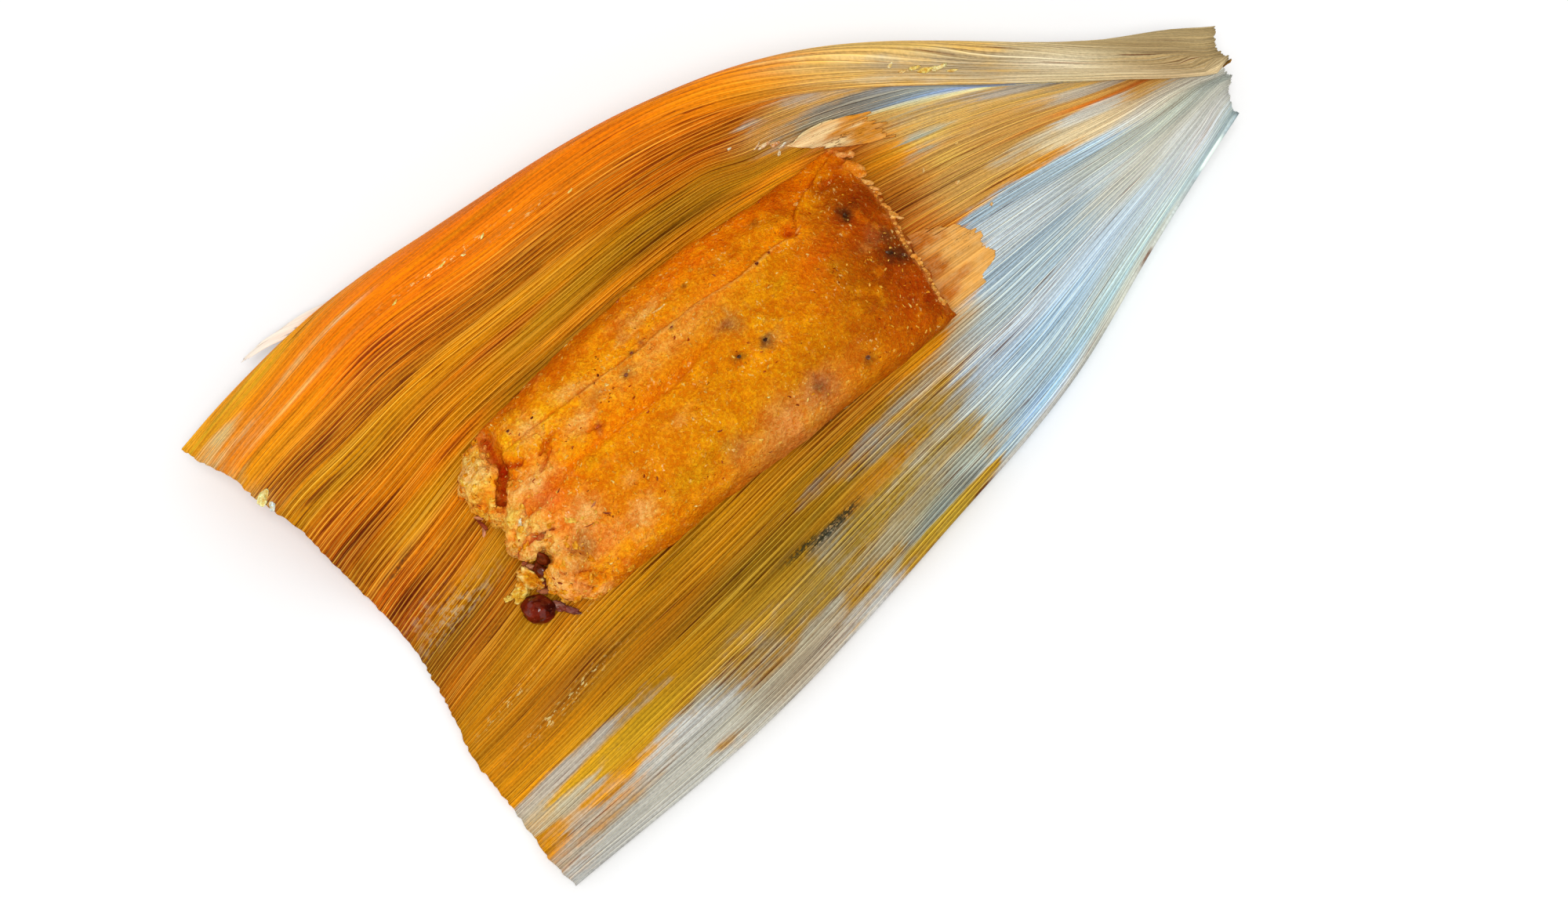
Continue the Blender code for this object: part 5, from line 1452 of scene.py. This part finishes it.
farTeeth = {
    "grid": 13, "rough": 0.18, "wave": 1.4, "taper": -0.15, "bend": 0.05, "seed": 95, "shade": 0.12,
    "light": paint(252, 196, 120), "lightShare": 0.4, "attribute": "masaColour",
    # t, how far past the lip, drop below the top, size, turn, tone
    "rows": [
        (19, 0.2, 0.6, (3.2, 1.1, 0.9), -24, (240, 158, 82)),
        (17.8, 1.2, 0.4, (1.9, 1.6, 1.3), -10, (246, 172, 100)),
        (14.6, -0.4, 0.8, (5.6, 3.2, 2), -62, (236, 134, 28)),
        (13.4, 0.9, 0.9, (2, 1.9, 1.4), -60, (248, 180, 100)),
        (10, 0.3, 1.1, (3, 1.2, 0.9), -40, (246, 174, 92)),
        (8.2, 0.3, 1.3, (2.7, 0.8, 0.7), -46, (242, 164, 90)),
        (6.8, 0.2, 1.3, (2.4, 0.8, 0.7), -48, (244, 170, 92)),
        (2.4, 0, 1.3, (1.3, 1.2, 0.9), -48, (242, 160, 70)),
        (0.6, 0.2, 1.3, (3, 1.4, 1), -52, (242, 162, 76)),
        (-0.8, 1.2, 1.5, (2, 0.6, 0.5), -42, (244, 176, 104)),
        (-3, 0, 1.4, (1, 0.8, 0.7), -40, (236, 146, 56)),
        (-6.4, 0.6, 1.5, (1.8, 0.8, 0.7), -24, (228, 140, 76)),
    ],
    "small": 46, "smallFrom": -22.0, "smallTo": 14.0, "crowding": 1.5, "smallTone": (240, 156, 66),
}


def pickTones(look, count, random):
    picked = random.choice(len(look["tones"]), count, p=look["shares"])
    return paint(*np.array(look["tones"]).T).T[picked]


def makeScatter(name, look, i, j, sink, sizes, random, masaStuff):
    # lumps on the grid places (i, j) of the finished top, sunk in along the normal, turned any way
    count = look["count"]
    piece = makeLumps(name, masaGrid[i, j] - masaUps[i, j] * sink, sizes, random.uniform(0, 360, count),
                      masaUps[i, j], pickTones(look, count, random), look)
    finishPiece(piece, masaStuff)


def makeMasaFlecks(masaStuff):
    # flecks sit on random places of the top, denser towards the broken end
    random, count = np.random.default_rng(masaFlecks["seed"]), masaFlecks["count"]
    i = (random.uniform(0.02, 0.97, count)**1.8 * (masa["rows"] - 1)).astype(int)
    j = (random.uniform(0.08, 0.92, count) * (masa["columns"] - 1)).astype(int)
    length = random.uniform(0.35, 1.15, count)
    sizes = np.stack([length, length * random.uniform(0.3, 0.6, count), length * 0.28], axis=-1)
    makeScatter("masaFlecks", masaFlecks, i, j, -0.02, sizes, random, masaStuff)


def makeEndCrumbs(masaStuff):
    # crumbs crowd the last few millimetres of the broken end
    random, count = np.random.default_rng(endCrumbs["seed"]), endCrumbs["count"]
    i = (random.uniform(0, 1, count)**1.8 * endCrumbs["reach"] * masa["rows"]).astype(int)
    j = (random.uniform(0.03, 0.97, count) * (masa["columns"] - 1)).astype(int)
    length = random.uniform(0.5, 1.0, count)**2 * 2.0 + 0.25
    width, height = length * random.uniform(0.6, 0.9, count), length * random.uniform(0.5, 0.8, count)
    sizes = np.stack([length, width, height], axis=-1)
    makeScatter("endCrumbs", endCrumbs, i, j, 0.10, sizes, random, masaStuff)


def makeFarTeeth(masaStuff):
    # teeth hang over the far lip, large ones listed and small ones between, crowded towards the right side
    random, small, rows = np.random.default_rng(farTeeth["seed"]), farTeeth["small"], farTeeth["rows"]
    between = farTeeth["smallTo"] - farTeeth["smallFrom"]
    smallT = farTeeth["smallFrom"] + between * np.linspace(0, 1, small)**farTeeth["crowding"]
    t = np.append(column(rows, 0), smallT + random.uniform(-0.4, 0.4, small))
    past = np.append(column(rows, 1), random.uniform(-0.5, 0.1, small))
    drop = np.append(column(rows, 2), random.uniform(0.2, 1.4, small))
    length = random.uniform(0.7, 1.5, small)
    sizes = np.concatenate([column(rows, 3), length[:, None] * (1, 0.75, 0.65)])
    turns = np.append(column(rows, 4), random.uniform(-70, -10, small))
    smallTones = paint(*farTeeth["smallTone"]) * random.uniform(0.75, 1.1, (small, 1))
    tones = np.concatenate([[paint(*row[5]) for row in rows], smallTones])
    lip = onMasa(through(masaLines["farEnd"], t) - 0.8, t)[0]
    ahead = np.array([math.cos(masa["turn"]), math.sin(masa["turn"]), 0])
    places = lip + ahead * (past[:, None] + 0.4) - np.array([0, 0, 1]) * (drop[:, None] - 0.8)
    piece = makeLumps("farTeeth", places, sizes, turns, (0.25, 0, 1), tones, farTeeth)
    finishPiece(piece, masaStuff)


# films: thin ragged sheets of masa that lie on the husk

# start, end: shares of the husk's length between which a film lies, by share of the way across it; low, high:
# the fibres between which it lies, by share of the way along it; even, down: where its second tone sets in
films = {
    "masaFilm": {
        "rows": 90, "columns": 110, "start": [(0, 0.600), (1, 0.625)],
        "end": [(0, 0.683), (0.12, 0.688), (0.2, 0.704), (0.4, 0.706), (0.7, 0.708), (1, 0.690)],
        "low": [(0, 0.262), (1, 0.262)], "high": [(0, 0.415), (0.6, 0.405), (1, 0.385)],
        "lift": (0.16, 0.16), "thickness": 0.16, "ragged": 0.0035, "tones": ((192, 104, 16), (230, 166, 80)),
        "even": 1.0, "down": 0.0, "seed": 97,
    },
    "cornerFlap": {
        "rows": 80, "columns": 40, "start": [(0, 0.600), (1, 0.604)],
        "end": [(0, 0.700), (0.5, 0.692), (1, 0.680)],
        "low": [(0, 0.686), (0.15, 0.662), (0.3, 0.640), (0.6, 0.610), (1, 0.590)],
        "high": [(0, 0.692), (0.15, 0.702), (0.4, 0.708), (0.8, 0.700), (1, 0.692)],
        "lift": (0.4, 1.6), "thickness": 0.20, "ragged": 0.008, "tones": ((255, 236, 176), (220, 144, 40)),
        "even": 1.3, "down": 0.6, "seed": 99,
    },
}


def filmMaterial():
    # painted tone times fibre grain, thin lines darker, pale where it is thin, under a faintly shiny skin
    material, t, shader = newMaterial("driedFilm", Specular_IOR_Level=0.10)
    where = t.fibrePlace()
    grain = t.group(fibreGrain, Vector=where, Streak=0.30, Line=0.45, Speck=0.12)
    body = t.scaled(t.attribute("masaColour"), grain["Shade"])
    paler = t.tinted(body, (0.16, 0.13, 0.05), "ADD")
    body = t.mix(t.times(t.ramp(grain["Dark"], 0.34, 0.27), 0.5), body, t.tinted(body, (0.55, 0.36, 0.2)))
    thin = t.ramp(t.noise(where, 1.0, 4.0, 0.7, (0.55, 0.30, 1.0)), 0.40, 0.70)
    body = t.mix(t.times(thin, 0.35), body, opaque(240, 196, 130))
    t.drive(shader, Base_Color=t.mix(t.times(grain["Light"], 0.7), body, paler),
            Roughness=t.plus(0.34, t.times(t.noise(where, 0.8, 3.0), 0.3)),
            Normal=t.relief(grain["Height"], 0.6, 0.0002))
    return material


def makeFilm(name, look, filmStuff):
    # u runs along the fibres and v across them; the far edge steps from rib to rib, and the sheet tapers to
    # its rim
    u, v = shareGrid(look["rows"], look["columns"])
    start, end = through(look["start"], v), through(look["end"], v)
    low, high = through(look["low"], u), through(look["high"], u)
    fibre = low + v * (high - low)
    ragged = ribReach[ribAt(fibre)[0]] + 0.3 * latticeNoise(v * 60, 0 * v, 0 * v, look["seed"])
    end = end + look["ragged"] * ragged
    along = start + u * (end - start)
    wave = layeredNoise(along * 40, fibre * 60, 0 * u, look["seed"] + 2, 3)
    rim = np.minimum(np.minimum(u, 1 - u) * 12, np.minimum(v, 1 - v) * 8).clip(0, 1)**0.5
    ups = huskNormal(along, fibreAcross(along, fibre))
    lift = look["lift"][0] + (look["lift"][1] - look["lift"][0]) * v**2 * (1 - u)
    base = huskTop(along, fibre, 0.0) + ups * lift[..., None]
    thick = look["thickness"] * rim * (1 + 0.5 * wave)
    points, quads = closedSheet(base + ups * thick[..., None], base - ups * 0.15)
    first, second = (paint(*tone) for tone in look["tones"])
    share = ease(-0.6, 0.6, 0.7 * wave + 2 * u - look["even"] + look["down"] * (1 - v))
    tone, uv = blend(first * np.ones(u.shape + (3,)), second, share).clip(0, 1), fibreMapOf(along, fibre)
    piece = makeMesh(name, points, quads.tolist(), stacked(uv, uv[1:-1, 1:-1]),
                     {"masaColour": stacked(tone, tone[1:-1, 1:-1])})
    finishPiece(piece, filmStuff)


# specks of masa and fibre on the husk: rows of share along, fibre, size, turn, tone

huskBits = {
    "grid": 9, "rough": 0.35, "wave": 1.5, "taper": 0.3, "bend": 0.08, "seed": 103, "shade": 0.2,
    "light": paint(255, 236, 190), "lightShare": 0.4, "attribute": "masaColour",
    "rows": [
        (0.58, 0.706, (3.2, 1, 0.8), 20, (250, 206, 170)),
        (0.59, 0.699, (2.4, 1.4, 0.7), -30, (244, 190, 150)),
        (0.572, 0.711, (2.2, 0.5, 0.4), 60, (240, 200, 160)),
        (0.596, 0.69, (2.2, 1.1, 0.6), 30, (250, 238, 220)),
        (0.59, 0.676, (1.6, 0.9, 0.4), 70, (252, 240, 214)),
        (0.735, 0.828, (2.4, 1.4, 0.8), 10, (252, 214, 120)),
        (0.744, 0.824, (3.2, 1.8, 0.9), 0, (250, 210, 110)),
        (0.755, 0.831, (3.6, 1.6, 1), 20, (252, 222, 150)),
        (0.766, 0.824, (2.2, 1.2, 0.8), -10, (248, 206, 120)),
        (0.724, 0.82, (1.8, 1, 0.7), 0, (244, 200, 130)),
        (0.715, 0.832, (1.4, 0.9, 0.6), 40, (250, 220, 160)),
        (0.002, 0.748, (3.4, 2.2, 1.6), 30, (252, 226, 150)),
        (0.001, 0.73, (2.4, 1.7, 1), 60, (240, 236, 224)),
        (0.2, 0.808, (1.6, 0.5, 0.4), 20, (255, 228, 120)),
        (0.255, 0.812, (1.8, 0.5, 0.4), 10, (255, 230, 130)),
        (0.275, 0.806, (1.2, 0.5, 0.4), -20, (255, 232, 150)),
        (0.3, 0.811, (1.4, 0.6, 0.5), 30, (255, 236, 150)),
        (0.335, 0.815, (1.2, 0.4, 0.4), 0, (255, 230, 140)),
        (0.39, 0.79, (1.4, 0.5, 0.4), 20, (255, 228, 130)),
        (0.155, 0.465, (1.2, 0.8, 0.5), 0, (236, 214, 180)),
        (0.545, 0.724, (1, 0.8, 0.4), 0, (238, 226, 196)),
        (0.72, 0.45, (1.2, 0.9, 0.5), 0, (236, 180, 110)),
        (0.735, 0.38, (1, 0.7, 0.5), 30, (232, 172, 110)), (0.7, 0.5, (1.1, 0.6, 0.4), 50, (240, 190, 120)),
        (0.745, 0.52, (1, 0.7, 0.4), 10, (240, 200, 130)),
    ],
}


def makeHuskBits(masaStuff):
    along, fibre = column(huskBits["rows"], 0), column(huskBits["rows"], 1)
    ups = huskNormal(along, fibreAcross(along, fibre))
    makeRowLumps("huskBits", huskTop(along, fibre) + ups * 0.1, ups, huskBits, masaStuff)


# single bits on the masa: s, t, size, turn, tone; hairs are the long thin ones
masaBits = {
    "grid": 9, "rough": 0.20, "wave": 1.5, "taper": 0.2, "bend": 0.08, "seed": 107, "shade": 0.2,
    "light": paint(255, 240, 214), "lightShare": 0.1, "attribute": "masaColour",
    "rows": [
        (-3.3, 0.9, (2.4, 1.3, 0.7), 40, (250, 238, 214)), (-4.6, -6.2, (1.2, 1.1, 0.9), 0, (150, 84, 56)),
        (6, -10.1, (2.4, 0.22, 0.2), -14, (140, 46, 14)), (0.6, -5, (1.8, 0.24, 0.22), -60, (170, 60, 14)),
        (10.6, -10.8, (1.6, 0.5, 0.4), -40, (150, 70, 40)),
        (9.8, -7.6, (1.8, 0.5, 0.3), 20, (190, 110, 70)), (22, 4.2, (1.5, 0.6, 0.5), 20, (200, 80, 20)),
        (71.3, 8.4, (0.9, 0.7, 0.4), 0, (110, 40, 14)), (33.6, 8.2, (0.9, 0.8, 0.5), 20, (120, 54, 30)),
        (60.2, -6, (1.3, 1.1, 0.6), 0, (60, 24, 14)), (53.6, -4.8, (1.1, 0.9, 0.5), 0, (72, 34, 22)),
        (95.6, 6.2, (1.6, 1.2, 0.5), 30, (70, 36, 20)), (96.6, -6.4, (2, 1, 0.5), -20, (66, 30, 16)),
        (99, -8.6, (1.4, 0.8, 0.5), -50, (90, 40, 20)), (38.5, 11.9, (0.8, 0.7, 0.4), 0, (120, 44, 16)),
        (75.1, -22, (1.2, 1, 0.5), 0, (110, 64, 50)), (48, 9.6, (0.7, 0.4, 0.3), 0, (130, 44, 10)),
        (30, 13, (0.8, 0.5, 0.3), 60, (120, 40, 10)), (14, 16.2, (0.9, 0.6, 0.4), 20, (110, 44, 20)),
        (8.4, 17.8, (0.8, 0.7, 0.4), 0, (100, 44, 24)), (84.6, 9.2, (2.2, 0.9, 0.7), -30, (236, 150, 60)),
        (90, 15.9, (1.4, 1.1, 0.8), 10, (250, 190, 110)), (3.6, 19.9, (1.6, 1.1, 0.9), 30, (236, 150, 70)),
        (49.4, 15.4, (3.4, 0.5, 0.4), -4, (250, 196, 120)),
    ],
}


def makeMasaBits(masaStuff):
    places, ups = onMasa(column(masaBits["rows"], 0), column(masaBits["rows"], 1))
    makeRowLumps("masaBits", places, ups, masaBits, masaStuff)


# loose strands that leave the lip behind the crest: share of the length at the root, length, lift
wisps = {
    "grid": 9, "rough": 0.10, "wave": 1.2, "taper": 0.6, "bend": 0.06, "seed": 109, "shade": 0.1,
    "light": paint(255, 250, 236), "lightShare": 0.3, "attribute": "masaColour",
    "width": 1.2, "thickness": 0.22, "longer": 1.25, "tone": (252, 240, 226),
    "rows": [
        (0.158, 13, 0.2), (0.15, 11, 0.6), (0.166, 14, 0), (0.172, 12, 0.5), (0.143, 9, 0.3),
        (0.18, 13, 0.4), (0.188, 12, 0.1), (0.197, 13, 0.6), (0.206, 11, 0.3), (0.216, 10, 0),
        (0.163, 10, 1), (0.184, 9, 0.9),
    ],
}


def makeWisps(filmStuff):
    rows, count = wisps["rows"], len(wisps["rows"])
    roots = huskTop(column(rows, 0), np.full(count, 0.995))
    length = wisps["longer"] * column(rows, 1)
    places = roots + np.stack([-0.46 * length, 0.04 * length, column(rows, 2)], axis=-1)
    sizes = np.stack([length, np.full(count, wisps["width"]), np.full(count, wisps["thickness"])], axis=-1)
    turns = 180 - np.linspace(2, 10, count)
    piece = makeLumps("lipWisps", places, sizes, turns, (0, 0, 1), [paint(*wisps["tone"])] * count, wisps)
    finishPiece(piece, filmStuff)


beanSkin, filmStuff = beanMaterial(), filmMaterial()
makeEndPiece("beanWhole", "bean", bean, (0, 0, 1), beanSkin)
makeEndPiece("beanSkinShred", "bean_shred", shred, (0, 0, 1), beanSkin)
makeEndPiece("looseCrumb", "crumb", crumb, (0.1, -0.25, 1), masaStuff)
makeDarkBits(beanSkin)
makeMasaFlecks(masaStuff)
makeEndCrumbs(masaStuff)
makeFarTeeth(masaStuff)
for filmName, filmLook in films.items():
    makeFilm(filmName, filmLook, filmStuff)
makeHuskBits(masaStuff)
makeMasaBits(masaStuff)
makeWisps(filmStuff)
print("pieces made")


# stage: plain pale floor, soft light, camera

stage = {
    "floorSide": 3.0, "floorDrop": 0.0002, "floorTones": ((0.97, 0.97, 0.97, 1), (0.99, 0.99, 0.99, 1)),
    "target": (-0.01675, -0.01899, 0.010), "distance": 0.80, "elevation": 68.0, "turn": 37.0, "width": 0.330,
    # the sun's direction as the camera sees it, then its angle and strength
    "sunRight": 0.02, "sunUp": -0.50, "sunHeight": 1.2, "sunAngle": 30.0, "sunStrength": 1.66, "sky": 0.60,
}


def makeFloor():
    # a wide sheet just below the husk
    side = np.linspace(-0.5, 0.5, 41) * stage["floorSide"]
    x, y = np.meshgrid(side, side, indexing="ij")
    points = np.stack([x, y, 0 * x - stage["floorDrop"]], axis=-1) / mm
    floor = makeMesh("floor", points, gridQuads(gridIds(points)).tolist(), toFrame=np.zeros(3))
    material, t, shader = newMaterial("paleFloor", Roughness=0.9)
    t.drive(shader, Base_Color=t.mix(t.noise(t.objectPlace(), 3.0, 2.0), *stage["floorTones"]))
    floor.data.materials.append(material)


def makeCamera():
    # looks down at the target; the view's right is the husk's length turned by the set angle
    turn, rise = math.radians(stage["turn"]), math.radians(stage["elevation"])
    right = np.array([math.cos(turn), -math.sin(turn), 0])
    away = np.array([math.sin(turn), math.cos(turn), 0])
    back = -away * math.cos(rise) + np.array([0, 0, 1]) * math.sin(rise)
    up = away * math.sin(rise) + np.array([0, 0, 1]) * math.cos(rise)
    lens = bpy.data.cameras.new("camera")
    lens.lens = lens.sensor_width * stage["distance"] / stage["width"]
    lens.clip_start, lens.clip_end = 0.01, 10
    camera = bpy.data.objects.new("camera", lens)
    matrix = np.eye(4)
    matrix[:3, 0], matrix[:3, 1], matrix[:3, 2] = right, up, back
    matrix[:3, 3] = np.array(stage["target"]) + back * stage["distance"]
    camera.matrix_world = Matrix(matrix.tolist())
    bpy.context.scene.collection.objects.link(camera)
    bpy.context.scene.camera = camera
    return right, away


def addSun(name, towards):
    # a wide soft sun shining from a direction
    light = bpy.data.lights.new(name, "SUN")
    light.angle, light.energy = math.radians(stage["sunAngle"]), stage["sunStrength"]
    lamp = bpy.data.objects.new(name, light)
    lamp.rotation_mode = "QUATERNION"
    lamp.rotation_quaternion = Vector(towards).to_track_quat("Z", "Y")
    bpy.context.scene.collection.objects.link(lamp)


makeFloor()
viewRight, viewAway = makeCamera()
sunPlan = viewRight * stage["sunRight"] + viewAway * stage["sunUp"]
addSun("keySun", (sunPlan[0], sunPlan[1], stage["sunHeight"]))
world = bpy.data.worlds.new("studio")
world.use_nodes = True
sky = world.node_tree.nodes["Background"].inputs
sky["Color"].default_value, sky["Strength"].default_value = (1.0, 1.0, 1.0, 1.0), stage["sky"]
bpy.context.scene.world = world
bpy.context.scene.view_settings.view_transform = "Standard"
print("stage made")
